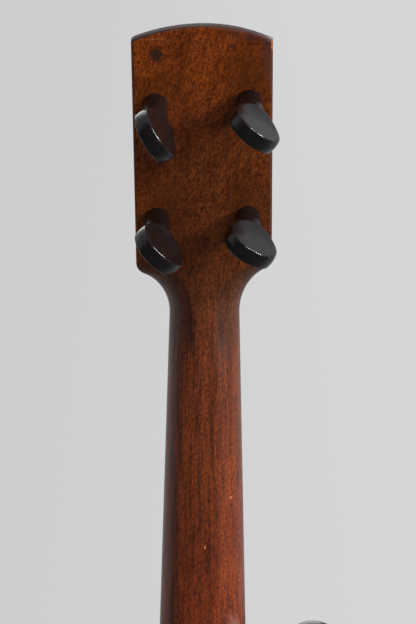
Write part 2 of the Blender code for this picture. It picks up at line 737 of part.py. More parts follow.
def make_neck(holes, hoop_room):
    """The neck with its peghead, shoulders and heel, cut for pegs, rim, hoop and dowel."""
    heights = neck_heights() + spread(NUT_Z, VENEER_START_Z, 2) + peghead_heights()
    neck = add_object("neck", lofted([neck_section(z) for z in heights]), "neck_wood")
    for hole in holes:
        combine(neck, hole)
    combine(neck, pot_room("rim_room", RIM_RADIUS + GAP, HEEL_DEPTH + CUTTER_REACH))
    combine(neck, hoop_room)
    tenon_room = drum(TENON_RADIUS + GAP, -TENON_LENGTH, TENON_LENGTH + GAP, 16)
    tenon_place = Matrix.Translation((0.0, DOWEL_CENTRE_BELOW_SKIN, NECK_END_Z))
    combine(neck, helper("tenon_room", tenon_room, tenon_place))


def pot_room(name, radius, back_y):
    """A round cutter on the pot's axis, from in front of the fingerboard to a level behind."""
    front = -CUTTER_REACH
    shape = pot_turned([(0.0, front), (radius, front), (radius, back_y), (0.0, back_y)])
    return helper(name, shape, Matrix.Translation((0.0, 0.0, POT_Z)))


def plate_section(z, low, thickness):
    """A cross-section with the neck's width at a height, from a level towards the player."""
    treble = half_width(z, "treble")
    bass = -half_width(z, "bass")
    return [(treble, low, z), (bass, low, z), (bass, low - thickness, z), (treble, low - thickness, z)]


def make_fingerboard(hoop_room):
    """The smooth fingerboard, flush with the neck's sides and cut back for the hoop."""
    heights = [z for z in neck_heights() if z < NUT_Z - GAP] + [NUT_Z - GAP]
    sections = [plate_section(z, NECK_FRONT_Y - GAP, FINGERBOARD_THICKNESS) for z in heights]
    board = add_object("fingerboard", lofted(sections), "dark_veneer")
    combine(board, hoop_room)
    seat = drum(FIFTH_NUT_RADIUS + GAP, -FIFTH_NUT_SEAT - GAP, CUTTER_MARGIN, 12)
    combine(board, helper("fifth_nut_seat", seat, fifth_nut_frame()))


def make_veneer(holes):
    """The thin veneer on the peghead's front."""
    sections = [plate_section(z, front_y(z) - GAP, VENEER_THICKNESS) for z in peghead_heights()]
    veneer = add_object("peghead_veneer", lofted(sections), "dark_veneer")
    for hole in holes:
        combine(veneer, hole)


def make_nuts():
    """The four-string nut at the end of the fingerboard and the fifth string's nut."""
    half = NECK_HALF_WIDTH_AT_NUT
    low = NECK_FRONT_Y - GAP
    bar = block((-half["bass"], low - NUT_HEIGHT, NUT_Z), (half["treble"], low, NUT_Z + NUT_THICKNESS))
    nut = add_object("nut", bar, "bone")
    bevel(nut, NUT_EDGE_BEVEL)
    pip = drum(FIFTH_NUT_RADIUS, -FIFTH_NUT_SEAT, FIFTH_NUT_HEIGHT, 12)
    add_object("fifth_string_nut", pip, "bone", fifth_nut_frame())


def fifth_nut_frame():
    """Frame of the fifth string's nut, on the fingerboard's surface with Z towards the player."""
    z = FIFTH_PEG_Z - FIFTH_NUT_BELOW_PEG
    x = -(half_width(z, "bass") - FIFTH_NUT_FROM_EDGE)
    return frame_matrix(Vector((x, FINGERBOARD_TOP_Y, z)), Vector((0.0, 0.0, 1.0)), Vector((0.0, -1.0, 0.0)))


def make_pegs():
    """All five pegs, with the tapered holes that they turn in."""
    pegs, holes = {}, {}
    for name, peg in PEGHEAD_PEGS.items():
        matrix = peghead_peg_frame(peg)
        deep = -peghead_thickness(peg)
        tip = deep - PEG_TIP_LENGTH
        pegs[name] = peg_mesh(name, PEG_SHAFT_RADIUS, tip, peg["stand_off"], peg["turn"], matrix)
        holes[name] = peg_hole(name, PEG_SHAFT_RADIUS, deep - CUTTER_MARGIN, matrix)
    matrix = fifth_peg_frame()
    base = FIFTH_PEG_SHAFT_RADIUS
    pegs["peg_5"] = peg_mesh("peg_5", base, -FIFTH_PEG_SEAT, FIFTH_PEG_STAND_OFF, 0.0, matrix)
    holes["peg_5"] = peg_hole("peg_5", base, -FIFTH_PEG_SEAT - GAP, matrix)
    return pegs, holes


def out_of_hole(x, over, z, bend, sense):
    """Points of a cord that comes out of a plate's hole and bends along its front, up or down."""
    return [
        Vector((x, over + bend, z)),
        Vector((x, over + bend * BEND_MIDDLE, z + sense * bend * BEND_MIDDLE)),
        Vector((x, over, z + sense * bend)),
    ]


def string_x(number):
    """Distance of a string from the centre line at the bridge and tailpiece."""
    return (3 - number) * BRIDGE_STRING_SPACING


def string_over_body(number):
    """The string's points from its tailpiece hole over the bridge."""
    radius = STRING_DIAMETERS[number] / 2.0
    x = string_x(number)
    plate_front = -TAILPIECE_ABOVE_SKIN - TAILPIECE_THICKNESS
    hole_z = tailpiece_top_z() - TAILPIECE_HOLE_FROM_EDGE
    over = bridge_top_y() - GAP - radius
    half = BRIDGE_TOP_THICKNESS / 2.0
    points = [Vector((x, -TAILPIECE_ABOVE_SKIN + STRING_END_BEHIND, hole_z))]
    points += out_of_hole(x, plate_front - GAP - radius, hole_z, STRING_BEND, 1.0)
    return points + [Vector((x, over, BRIDGE_Z - half)), Vector((x, over, BRIDGE_Z + half))]


def string_over_nut(number):
    """The string's points over its nut."""
    radius = STRING_DIAMETERS[number] / 2.0
    if number == 5:
        frame = fifth_nut_frame()
        reach = FIFTH_NUT_RADIUS
        height = FIFTH_NUT_HEIGHT + GAP + radius
        return [frame @ Vector((-reach, 0.0, height)), frame @ Vector((reach, 0.0, height))]
    x = (2.5 - number) * NUT_STRING_SPACING
    y = NECK_FRONT_Y - GAP - NUT_HEIGHT - GAP - radius
    return [Vector((x, y, NUT_Z)), Vector((x, y, NUT_Z + NUT_THICKNESS))]


def make_strings(pegs):
    """Five strings from tailpiece to peg, each with a loop on its peg and a winding beyond it."""
    for number, diameter in STRING_DIAMETERS.items():
        name = f"peg_{number}"
        if number == 5:
            matrix = fifth_peg_frame()
            base, sense, direction, loop_z = FIFTH_PEG_SHAFT_RADIUS, 1.0, 1.0, FIFTH_LOOP_STAND
        else:
            peg = PEGHEAD_PEGS[name]
            matrix = peghead_peg_frame(peg)
            base, direction = PEG_SHAFT_RADIUS, -1.0
            sense = math.copysign(1.0, peg["out"])
            loop_z = -peghead_thickness(peg) - STRING_LOOP_STAND
        radius = shaft_radius(base, loop_z) + GAP + diameter / 2.0
        over_nut = string_over_nut(number)
        loop, angle = string_onto_peg(matrix, over_nut[-1], radius, sense, loop_z)
        points = string_over_body(number) + over_nut + loop
        tube(f"string_{number}", points, diameter / 2.0, "gut")
        wound = f"string_{number}_winding"
        winding(wound, pegs[name], matrix, radius, angle, sense, loop_z, direction, diameter)


def make_pot():
    """Rim, skin, flesh hoop and tension hoop, all turned round the pot's axis."""
    place = Matrix.Translation((0.0, 0.0, POT_Z))
    rim_profile = [
        (RIM_INNER, RIM_FRONT_Y),
        (RIM_RADIUS, RIM_FRONT_Y),
        (RIM_RADIUS, RIM_BACK_Y),
        (RIM_INNER, RIM_BACK_Y),
    ]
    rim = add_object("rim", pot_turned(rim_profile, True), "rim_wood", place)
    for cutter in rim_cutters():
        combine(rim, cutter)
    lap_inner = HOOP_INNER + FLESH_HOOP_SIZE + GAP
    skin_profile = [
        (0.0, 0.0),
        (SKIN_INNER + SKIN_THICKNESS, 0.0),
        (SKIN_INNER + SKIN_THICKNESS, SKIN_LAP_Y - SKIN_THICKNESS),
        (lap_inner, SKIN_LAP_Y - SKIN_THICKNESS),
        (lap_inner, HOOP_BACK_Y + GAP),
        (lap_inner + SKIN_THICKNESS, HOOP_BACK_Y + GAP),
        (lap_inner + SKIN_THICKNESS, SKIN_LAP_Y),
        (SKIN_INNER, SKIN_LAP_Y),
        (SKIN_INNER, SKIN_THICKNESS),
        (0.0, SKIN_THICKNESS),
    ]
    add_object("skin_head", pot_turned(skin_profile), "calfskin", place)
    flesh_profile = [
        (HOOP_INNER, HOOP_BACK_Y + GAP),
        (HOOP_INNER + FLESH_HOOP_SIZE, HOOP_BACK_Y + GAP),
        (HOOP_INNER + FLESH_HOOP_SIZE, FLESH_HOOP_BACK_Y),
        (HOOP_INNER, FLESH_HOOP_BACK_Y),
    ]
    add_object("flesh_hoop", pot_turned(flesh_profile, True), "maple", place)
    hoop_profile = [
        (HOOP_INNER, HOOP_FRONT_Y),
        (HOOP_OUTER - TENSION_HOOP_BEVEL, HOOP_FRONT_Y),
        (HOOP_OUTER, HOOP_FRONT_Y + TENSION_HOOP_BEVEL),
        (HOOP_OUTER, HOOP_BACK_Y),
        (HOOP_INNER, HOOP_BACK_Y),
    ]
    add_object("tension_hoop", pot_turned(hoop_profile, True), "brass", place)


def rim_cutters():
    """Holes in the rim: square for the dowel stick, round for the end pin and the bolts."""
    half = DOWEL_WIDTH / 2.0 + GAP
    deep = DOWEL_DEPTH / 2.0 + GAP
    y = DOWEL_CENTRE_BELOW_SKIN
    top = POT_Z + RIM_RADIUS
    margin = CUTTER_MARGIN
    dowel = block((-half, y - deep, top - RIM_WALL - margin), (half, y + deep, top + margin))
    pin = drum(END_PIN_SHANK_RADIUS + GAP, -RIM_RADIUS - margin, -RIM_INNER + margin, 12)
    bolts = []
    for number, angle in enumerate(STATION_ANGLES, 1):
        hole = drum(BOLT_RADIUS + GAP, RIM_INNER - margin, RIM_RADIUS + margin, 10)
        bolts.append(helper(f"bolt_hole_{number}", hole, station_frame(angle)))
    pin_place = Matrix.Translation((0.0, y, POT_Z))
    return [helper("dowel_room", dowel), helper("end_pin_hole", pin, pin_place)] + bolts


def station_frame(angle):
    """Frame of a bracket station: Z points out along the bolt, X towards the rim's back."""
    turn = math.radians(angle)
    outward = Vector((math.cos(turn), 0.0, math.sin(turn)))
    centre = Vector((0.0, SHOE_CENTRE_BELOW_SKIN, POT_Z))
    return frame_matrix(centre, Vector((0.0, 1.0, 0.0)), outward)


def make_stations():
    """Shoe, bolt, hook and nut at each station, sharing their meshes."""
    wall = RIM_RADIUS * FLAT + GAP
    ear_top = HOOK_CIRCLE + HOOK_RADIUS + SHOE_EAR_WALL
    ear_low = wall + SHOE_FLANGE_THICKNESS
    shoe_profile = [
        (0.0, wall),
        (SHOE_FLANGE_RADIUS, wall),
        (SHOE_FLANGE_RADIUS * SHOE_FLANGE_TOP_SHARE, ear_low),
        (SHOE_NECK_RADIUS, ear_low + SHOE_FILLET),
        (SHOE_NECK_RADIUS, HOOK_CIRCLE),
        (0.0, HOOK_CIRCLE),
    ]
    pattern = helper("shoe_pattern", turned(shoe_profile, 16))
    half_depth = SHOE_EAR_DEPTH / 2.0
    half_ear = SHOE_EAR_WIDTH / 2.0
    ear_bottom = HOOK_CIRCLE - HOOK_RADIUS - SHOE_EAR_WALL
    ear = block((-half_depth, -half_ear, ear_bottom), (half_depth, half_ear, ear_top))
    ear_shape = helper("shoe_ear", ear)
    bevel(ear_shape, SHOE_EAR_BEVEL)
    combine(pattern, ear_shape, "UNION")
    across = Matrix.Translation((0.0, 0.0, HOOK_CIRCLE)) @ Matrix.Rotation(math.pi / 2.0, 4, "Y")
    hook_hole = drum(HOOK_RADIUS + GAP, -CUTTER_REACH, CUTTER_REACH, 10)
    combine(pattern, helper("shoe_hook_hole", hook_hole, across))
    thread = drum(BOLT_RADIUS + GAP, wall - CUTTER_MARGIN, wall + BOLT_GRIP_IN_SHOE + GAP, 10)
    combine(pattern, helper("shoe_thread", thread))
    shoe_mesh = settled(pattern)

    head_top = RIM_INNER * FLAT - GAP
    bolt_profile = [
        (0.0, head_top - BOLT_HEAD_THICKNESS),
        (BOLT_HEAD_RADIUS * BOLT_HEAD_TOP_SHARE, head_top - BOLT_HEAD_THICKNESS),
        (BOLT_HEAD_RADIUS, head_top - BOLT_HEAD_THICKNESS * BOLT_HEAD_SIDE_SHARE),
        (BOLT_HEAD_RADIUS, head_top),
        (BOLT_RADIUS, head_top),
        (BOLT_RADIUS, wall + BOLT_GRIP_IN_SHOE),
        (0.0, wall + BOLT_GRIP_IN_SHOE),
    ]
    bolt_mesh = turned(bolt_profile, 12)

    nut_low = half_depth + GAP
    nut_high = nut_low + HOOK_NUT_LENGTH
    nut = helper("nut_pattern", drum(HOOK_NUT_WIDTH / 2.0, nut_low, nut_high, 6))
    nut.matrix_world = across
    nut_hole = drum(HOOK_RADIUS + GAP, nut_low - CUTTER_MARGIN, nut_high + CUTTER_MARGIN, 10)
    combine(nut, helper("nut_hole", nut_hole, across))
    nut_mesh = settled(nut)
    nut_mesh.transform(across)

    tail = nut_high + HOOK_TAIL
    claw_y = HOOP_FRONT_Y - GAP - HOOK_RADIUS - SHOE_CENTRE_BELOW_SKIN
    bend_x = claw_y + HOOK_BEND
    bend_z = HOOK_CIRCLE - HOOK_BEND
    hook_points = [(tail, 0.0, HOOK_CIRCLE)]
    for step in range(6):
        angle = 0.5 * math.pi * step / 5
        hook_points.append((bend_x - HOOK_BEND * math.sin(angle), 0.0, bend_z + HOOK_BEND * math.cos(angle)))
    hook_points.append((claw_y, 0.0, bend_z - HOOK_CLAW + HOOK_BEND))

    for number, angle in enumerate(STATION_ANGLES, 1):
        place = station_frame(angle)
        add_object(f"bracket_shoe_{number}", shoe_mesh, "brass", place)
        add_object(f"bracket_bolt_{number}", bolt_mesh, "brass", place)
        add_object(f"hook_nut_{number}", nut_mesh, "brass", place)
        tube(f"tension_hook_{number}", hook_points, HOOK_RADIUS, "brass", place)


def dowel_end(radius, half):
    """Distance from the pot's centre at which a face of this half-width meets a round wall."""
    return math.sqrt(radius**2 - half**2) * FLAT


def make_dowel():
    """The dowel stick from the heel through the pot, its wedge, and the end pin."""
    y = DOWEL_CENTRE_BELOW_SKIN
    half = DOWEL_WIDTH / 2.0
    top = dowel_end(RIM_RADIUS, half) - GAP
    bottom = -(dowel_end(RIM_INNER, half) - GAP)
    place = Matrix.Translation((0.0, y, POT_Z))
    stick = block((-half, -DOWEL_DEPTH / 2.0, bottom), (half, DOWEL_DEPTH / 2.0, top))
    dowel = add_object("dowel_stick", stick, "rim_wood", place)
    bevel(dowel, DOWEL_EDGE_BEVEL)
    tenon = drum(TENON_RADIUS, top - JOINT_OVERLAP, RIM_RADIUS + TENON_LENGTH, 16)
    combine(dowel, helper("tenon", tenon, place), "UNION")
    shank_top = bottom + END_PIN_SHANK_IN_DOWEL
    pin_hole = drum(END_PIN_SHANK_RADIUS + GAP, bottom - CUTTER_MARGIN, shank_top + GAP, 12)
    combine(dowel, helper("dowel_pin_hole", pin_hole, place))

    wedge_half = WEDGE_LENGTH / 2.0
    wedge_top = dowel_end(RIM_INNER, wedge_half) - GAP
    low_thick = wedge_top - WEDGE_THICKNESS + WEDGE_TAPER / 2.0
    low_thin = wedge_top - WEDGE_THICKNESS - WEDGE_TAPER / 2.0
    deep = WEDGE_DEPTH / 2.0
    wedge_sections = []
    for x, low in ((-wedge_half, low_thin), (wedge_half, low_thick)):
        wedge_sections.append([(x, -deep, low), (x, deep, low), (x, deep, wedge_top), (x, -deep, wedge_top)])
    add_object("dowel_wedge", lofted(wedge_sections), "maple", place)
    room = block(
        (-half * 2.0, -deep - GAP, low_thin - GAP),
        (half * 2.0, deep + GAP, wedge_top + GAP),
    )
    combine(dowel, helper("wedge_room", room, place))

    flange = RIM_RADIUS * FLAT + GAP
    neck_out = flange + END_PIN_FLANGE_THICKNESS
    button = neck_out + END_PIN_NECK_LENGTH
    pin_profile = [
        (0.0, shank_top),
        (END_PIN_SHANK_RADIUS, shank_top),
        (END_PIN_SHANK_RADIUS, -flange),
        (END_PIN_FLANGE_RADIUS, -flange),
        (END_PIN_FLANGE_RADIUS, -neck_out + END_PIN_FLANGE_CHAMFER),
        (END_PIN_NECK_RADIUS, -neck_out),
        (END_PIN_NECK_RADIUS, -button),
    ]
    for wide, long in END_PIN_BUTTON_SHAPE:
        pin_profile.append((END_PIN_BUTTON_RADIUS * wide, -button - END_PIN_BUTTON_LENGTH * long))
    pin_profile.append((0.0, -button - END_PIN_BUTTON_LENGTH))
    add_object("end_pin", turned(pin_profile, 16), "ebonised_wood", place)


def bridge_top_y():
    """Level of the bridge's top edge."""
    return -GAP - BRIDGE_HEIGHT


def make_bridge():
    """The bridge: two arches between three feet, thick at the feet and thin on top."""
    half = BRIDGE_LENGTH / 2.0
    foot = -GAP
    top = bridge_top_y()
    low = foot - BRIDGE_END_HEIGHT
    slope = half - BRIDGE_END_SLOPE
    outline = [(-half, foot), (-half, low), (-slope, top), (slope, top), (half, low), (half, foot)]
    near = (half - BRIDGE_ARCH_WIDTH) * BRIDGE_CENTRE_FOOT_SHARE
    middle = near + BRIDGE_ARCH_WIDTH / 2.0
    for centre in (middle, -middle):
        for step in range(BRIDGE_ARCH_STEPS + 1):
            angle = math.pi * step / BRIDGE_ARCH_STEPS
            x = centre + BRIDGE_ARCH_WIDTH / 2.0 * math.cos(angle)
            outline.append((x, foot - BRIDGE_ARCH_HEIGHT * math.sin(angle)))
    sections = []
    for sign in (-0.5, 0.5):
        section = []
        for x, y in outline:
            share = (foot - y) / BRIDGE_HEIGHT
            thickness = BRIDGE_FOOT_THICKNESS + share * (BRIDGE_TOP_THICKNESS - BRIDGE_FOOT_THICKNESS)
            section.append((x, y, BRIDGE_Z + sign * thickness))
        sections.append(section)
    add_object("bridge", lofted(sections), "maple")


def tailpiece_top_z():
    """Height of the tailpiece's edge nearest the bridge."""
    return POT_Z - HOOP_INNER + TAILPIECE_FROM_HOOP + TAILPIECE_LENGTH


def make_tailpiece():
    """The tailpiece plate, widest at its string edge, with its string and gut holes."""
    place = Matrix.Translation((0.0, -TAILPIECE_ABOVE_SKIN, tailpiece_top_z()))
    half_top = TAILPIECE_TOP_WIDTH / 2.0
    half_low = TAILPIECE_TAIL_WIDTH / 2.0
    low = -TAILPIECE_LENGTH
    side = -TAILPIECE_SIDE
    outline = [(half_top, 0.0), (-half_top, 0.0), (-half_top, side)]
    outline += [(-half_low, low), (half_low, low), (half_top, side)]
    sections = [[(x, y, z) for x, z in outline] for y in (0.0, -TAILPIECE_THICKNESS)]
    plate = add_object("tailpiece", lofted(sections), "ebonised_wood", place)
    facing = Matrix.Rotation(math.pi / 2.0, 4, "X")
    for number, diameter in STRING_DIAMETERS.items():
        hole = drum(diameter / 2.0 + 2.0 * GAP, -CUTTER_REACH, CUTTER_REACH, 8)
        spot = Matrix.Translation((string_x(number), 0.0, -TAILPIECE_HOLE_FROM_EDGE))
        combine(plate, helper(f"string_hole_{number}", hole, place @ spot @ facing))
    for side_name, x in (("treble", TAIL_GUT_HALF_SPACING), ("bass", -TAIL_GUT_HALF_SPACING)):
        hole = drum(TAIL_GUT_RADIUS + 2.0 * GAP, -CUTTER_REACH, CUTTER_REACH, 8)
        spot = Matrix.Translation((x, 0.0, low + TAILPIECE_HOLE_FROM_EDGE))
        combine(plate, helper(f"gut_hole_{side_name}", hole, place @ spot @ facing))


def make_tail_gut():
    """The gut from the tailpiece over the hoop, round the end pin's neck, and back."""
    radius = TAIL_GUT_RADIUS
    back = -TAILPIECE_ABOVE_SKIN
    plate_over = back - TAILPIECE_THICKNESS - TAIL_GUT_OVER_PLATE - radius
    plate_low = tailpiece_top_z() - TAILPIECE_LENGTH
    gut_z = plate_low + TAILPIECE_HOLE_FROM_EDGE
    hoop_over = HOOP_FRONT_Y - GAP - radius
    outside = POT_Z - (HOOP_OUTER * FLAT + 2.0 * GAP + radius)
    pin_y = DOWEL_CENTRE_BELOW_SKIN
    loop = END_PIN_NECK_RADIUS + 2.0 * GAP + radius
    half = TAIL_GUT_HALF_SPACING
    bend = TAIL_GUT_HOOP_BEND
    narrow = [half * share for share in TAIL_GUT_NARROWING]
    side = [Vector((half, back + TAIL_GUT_END_BEHIND, gut_z))]
    side += out_of_hole(half, plate_over, gut_z, TAIL_GUT_BEND, -1.0)
    side += [
        Vector((half, plate_over, plate_low - TAIL_GUT_PAST_PLATE)),
        Vector((narrow[0], hoop_over, POT_Z - HOOP_INNER - TAIL_GUT_ONTO_HOOP)),
        Vector((narrow[1], hoop_over, outside + bend)),
        Vector((narrow[2], hoop_over + bend * BEND_MIDDLE, outside + bend * BEND_MIDDLE)),
        Vector((narrow[3], hoop_over + bend, outside)),
        Vector((loop, pin_y, outside)),
    ]
    turn = []
    for step in range(1, TAIL_GUT_LOOP_STEPS):
        angle = math.pi * step / TAIL_GUT_LOOP_STEPS
        turn.append(Vector((loop * math.cos(angle), pin_y + loop * math.sin(angle), outside)))
    other = [Vector((-point.x, point.y, point.z)) for point in reversed(side)]
    tube("tail_gut", side + turn + other, radius, "gut")


def main():
    """Clear the scene and build the instrument."""
    for old in list(bpy.data.objects):
        bpy.data.objects.remove(old, do_unlink=True)
    pegs, holes = make_pegs()
    hoop_room = pot_room("hoop_room", HOOP_OUTER + HOOP_NOTCH_CLEARANCE, SKIN_LAP_Y + HOOP_NOTCH_CLEARANCE)
    make_neck(holes.values(), hoop_room)
    make_fingerboard(hoop_room)
    make_veneer([holes[name] for name in PEGHEAD_PEGS])
    make_nuts()
    make_strings(pegs)
    make_pot()
    make_stations()
    make_dowel()
    make_bridge()
    make_tailpiece()
    make_tail_gut()


main()
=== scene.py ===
"""Looks of a five-string fretless banjo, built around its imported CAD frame.

Metres, +Z up the neck, the playing side faces -Y and the treble side is +X. The camera stands at +Y,
behind the peghead, as the photograph's does.
"""

import logging
import math
from dataclasses import dataclass, field
from enum import Enum
from typing import Any, ClassVar

import bpy
import numpy as np
from mathutils import Matrix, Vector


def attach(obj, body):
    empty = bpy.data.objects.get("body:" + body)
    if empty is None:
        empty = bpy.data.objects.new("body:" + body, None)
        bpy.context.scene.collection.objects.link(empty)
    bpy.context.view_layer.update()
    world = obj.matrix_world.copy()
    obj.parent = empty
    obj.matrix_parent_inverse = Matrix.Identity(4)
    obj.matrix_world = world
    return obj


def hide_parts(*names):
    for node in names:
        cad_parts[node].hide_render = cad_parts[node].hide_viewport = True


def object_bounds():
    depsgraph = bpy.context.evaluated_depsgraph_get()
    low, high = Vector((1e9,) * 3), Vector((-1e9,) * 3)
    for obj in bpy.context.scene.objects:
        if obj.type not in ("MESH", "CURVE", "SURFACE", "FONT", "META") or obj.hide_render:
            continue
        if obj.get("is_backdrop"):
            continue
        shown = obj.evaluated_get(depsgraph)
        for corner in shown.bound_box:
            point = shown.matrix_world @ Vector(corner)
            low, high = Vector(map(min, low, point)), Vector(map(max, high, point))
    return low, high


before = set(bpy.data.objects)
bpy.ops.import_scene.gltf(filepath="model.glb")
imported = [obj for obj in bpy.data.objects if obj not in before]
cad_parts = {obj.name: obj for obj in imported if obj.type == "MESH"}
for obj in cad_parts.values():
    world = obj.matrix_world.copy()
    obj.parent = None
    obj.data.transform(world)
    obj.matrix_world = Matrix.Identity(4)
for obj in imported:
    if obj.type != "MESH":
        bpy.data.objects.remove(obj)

LOG = logging.getLogger("fretless_banjo")
Array = np.ndarray
Colour = tuple[float, float, float]


class Slot(Enum):
    """The record's material slots."""

    NECK = "neck_wood"
    VENEER = "dark_veneer"
    EBONISED = "ebonised_wood"
    BONE = "bone"
    GUT = "gut"
    RIM = "rim_wood"
    CALFSKIN = "calfskin"
    BRASS = "brass"
    MAPLE = "maple"


class Side(Enum):
    """Sides of the neck, with the sign of x that each has."""

    TREBLE = 1.0
    BASS = -1.0


class Cut(Enum):
    """Ways in which one shape changes another."""

    AWAY = "DIFFERENCE"
    JOINED = "UNION"


@dataclass(frozen=True)
class Plan:
    """Sizes that several sub-assemblies share, in metres, as the CAD source gives them."""

    gap: float = 0.0003
    scale_length: float = 0.682
    nut_z: float = -0.012
    nut_thickness: float = 0.0050
    nut_height: float = 0.0036
    front_y: float = -0.003
    board_thickness: float = 0.0027
    rim_radius: float = 0.146
    rim_wall: float = 0.011
    rim_depth: float = 0.062
    pot_above_bridge: float = 0.055
    pot_flats: int = 48
    skin: float = 0.0006
    flesh_hoop: float = 0.0045
    hoop_width: float = 0.0063
    hoop_depth: float = 0.0060
    hoop_proud: float = 0.0018
    dowel_y: float = 0.024

    @property
    def bridge_z(self) -> float:
        """Height of the bridge, one string length below the nut."""
        return self.nut_z - self.scale_length

    @property
    def pot_z(self) -> float:
        """Height of the pot's centre."""
        return self.bridge_z + self.pot_above_bridge

    @property
    def neck_end_z(self) -> float:
        """Height at which the neck meets the rim."""
        return self.pot_z + self.rim_radius

    @property
    def fifth_peg_z(self) -> float:
        """Height of the fifth peg, a quarter of the string length below the nut."""
        return self.nut_z - 0.25 * self.scale_length

    @property
    def board_top_y(self) -> float:
        """Level of the fingerboard's playing face."""
        return self.front_y - self.gap - self.board_thickness

    @property
    def flat(self) -> float:
        """Share of its corner radius at which a flat of the CAD rings lies."""
        return math.cos(math.pi / self.pot_flats)

    @property
    def rim_inner(self) -> float:
        """Inner radius of the rim."""
        return self.rim_radius - self.rim_wall

    @property
    def rim_back_y(self) -> float:
        """Level of the rim's back edge."""
        return self.skin + self.gap + self.rim_depth

    @property
    def hoop_inner(self) -> float:
        """Inner radius of the tension hoop."""
        return self.rim_radius + self.skin + 2.0 * self.gap

    @property
    def hoop_outer(self) -> float:
        """Outer radius of the tension hoop."""
        return self.hoop_inner + self.hoop_width

    @property
    def hoop_back_y(self) -> float:
        """Level of the tension hoop's back edge."""
        return self.hoop_depth - self.hoop_proud

    @property
    def lap_y(self) -> float:
        """Level of the skin's lap behind the flesh hoop."""
        return self.hoop_back_y + self.flesh_hoop + self.skin + 2.0 * self.gap


PLAN = Plan()


def ease(value: Array, start: float, end: float) -> Array:
    """Zero before start, one after end, and the cubic 3s^2 - 2s^3 between.

    Args:
        value: Where to look.
        start: Where the rise begins.
        end: Where it ends.

    Returns:
        The eased share at each value.
    """
    share = np.clip((value - start) / (end - start), 0.0, 1.0)
    return share * share * (3.0 - 2.0 * share)


def unit(vectors: Array) -> Array:
    """Each vector divided by its own length."""
    return vectors / np.maximum(np.linalg.norm(vectors, axis=-1, keepdims=True), 1e-12)


def frame_at(origin: Array, up: Array, axis: Array) -> Array:
    """A frame whose Z is the axis and whose X is as near to up as it can be.

    Args:
        origin: The frame's origin.
        up: The direction that X leans to.
        axis: The direction of Z.

    Returns:
        A 4 by 4 matrix.
    """
    z = unit(np.asarray(axis, float))
    y = unit(np.cross(z, up))
    made = np.eye(4)
    made[:3, 0] = np.cross(y, z)
    made[:3, 1] = y
    made[:3, 2] = z
    made[:3, 3] = origin
    return made


def moved(points: Array, matrix: Array) -> Array:
    """Points carried by a 4 by 4 matrix."""
    return points @ matrix[:3, :3].T + matrix[:3, 3]


def skin_over(name: str, rings: Array, ring_trip: bool = False, tips: tuple | None = None, sharp: float = 38.0):
    """A closed skin through rings of points, with its run in metres as a UV map.

    Vertex (i, j) is rings[i, j]. Each ring closes on itself and ring i joins ring i + 1. The skin goes round to
    ring 0 again, or a fan about a middle point closes each end. U is the way round a ring and V the way along.

    Args:
        name: The mesh's name.
        rings: Points as rows by columns by 3.
        ring_trip: Whether the last ring joins the first.
        tips: Middle points of the two end fans, or None for the rings' own middles.
        sharp: Angle in degrees from which an edge stays crisp.

    Returns:
        The mesh, with its faces outward.
    """
    rows, columns = rings.shape[:2]
    index = np.arange(rows * columns).reshape(rows, columns)
    low = index if ring_trip else index[:-1]
    high = np.roll(index, -1, axis=0) if ring_trip else index[1:]
    quads = np.stack([low, np.roll(low, -1, 1), np.roll(high, -1, 1), high], -1).reshape(-1, 4)
    points = rings.reshape(-1, 3)
    volume = signed_volume(points, quads)
    fans = np.zeros((0, 3), int)
    if not ring_trip:
        middles = np.array(tips) if tips is not None else rings[[0, -1]].mean(axis=1)
        points = np.concatenate([points, middles])
        first = np.stack([np.full(columns, len(points) - 2), np.roll(index[0], -1), index[0]], -1)
        last = np.stack([np.full(columns, len(points) - 1), index[-1], np.roll(index[-1], -1)], -1)
        fans = np.concatenate([first, last])
        volume += signed_volume(points, fans)
    if volume < 0.0:
        quads = quads[:, ::-1]
        fans = fans[:, ::-1]
    mesh = bpy.data.meshes.new(name)
    mesh.from_pydata(points.tolist(), [], quads.tolist() + fans.tolist())
    write_run(mesh, rings, quads, fans)
    return smoothed(mesh, sharp)


def signed_volume(points: Array, faces: Array) -> float:
    """Six times the volume between faces and the origin: the sum of a . (b x c) over their triangles."""
    if not len(faces):
        return 0.0
    a, b, c = points[faces[:, 0]], points[faces[:, 1]], points[faces[:, 2]]
    total = np.einsum("ij,ij->", a, np.cross(b, c))
    if faces.shape[1] == 4:
        total += np.einsum("ij,ij->", a, np.cross(c, points[faces[:, 3]]))
    return float(total)


def write_run(mesh: bpy.types.Mesh, rings: Array, quads: Array, fans: Array) -> None:
    """Write the UV map: metres round the ring, and metres along from ring to ring.

    Args:
        mesh: The mesh to write to.
        rings: Its rings of points.
        quads: The four vertices of each quad, as written.
        fans: The three vertices of each end triangle.
    """
    rows, columns = rings.shape[:2]
    girth = np.linalg.norm(rings - np.roll(rings, -1, 1), axis=-1).sum(axis=1).mean()
    step = np.linalg.norm(np.diff(rings, axis=0), axis=-1).mean(axis=1)
    along = np.concatenate([[0.0], np.cumsum(step), [step.sum() + step.mean()]])
    row, column = quads // columns, quads % columns
    wraps = (column.max(axis=1) - column.min(axis=1) > 1)[:, None] & (column == 0)
    column = np.where(wraps, columns, column)
    trips = (row.max(axis=1) - row.min(axis=1) > 1)[:, None] & (row == 0)
    row = np.where(trips, rows, row)
    body = np.stack([column / columns * girth, along[row]], -1).reshape(-1, 2)
    ends = np.where(fans < rows * columns, fans % columns, 0)
    cap = np.stack([ends / columns * girth, np.zeros(ends.shape)], -1).reshape(-1, 2)
    layer = mesh.uv_layers.new(name="run")
    layer.data.foreach_set("uv", np.concatenate([body, cap]).astype(np.float32).ravel())


def smoothed(mesh: bpy.types.Mesh, sharp: float) -> bpy.types.Mesh:
    """The mesh shaded smooth, crisp along edges that turn more than sharp degrees."""
    mesh.shade_smooth()
    mesh.set_sharp_from_angle(angle=math.radians(sharp))
    return mesh


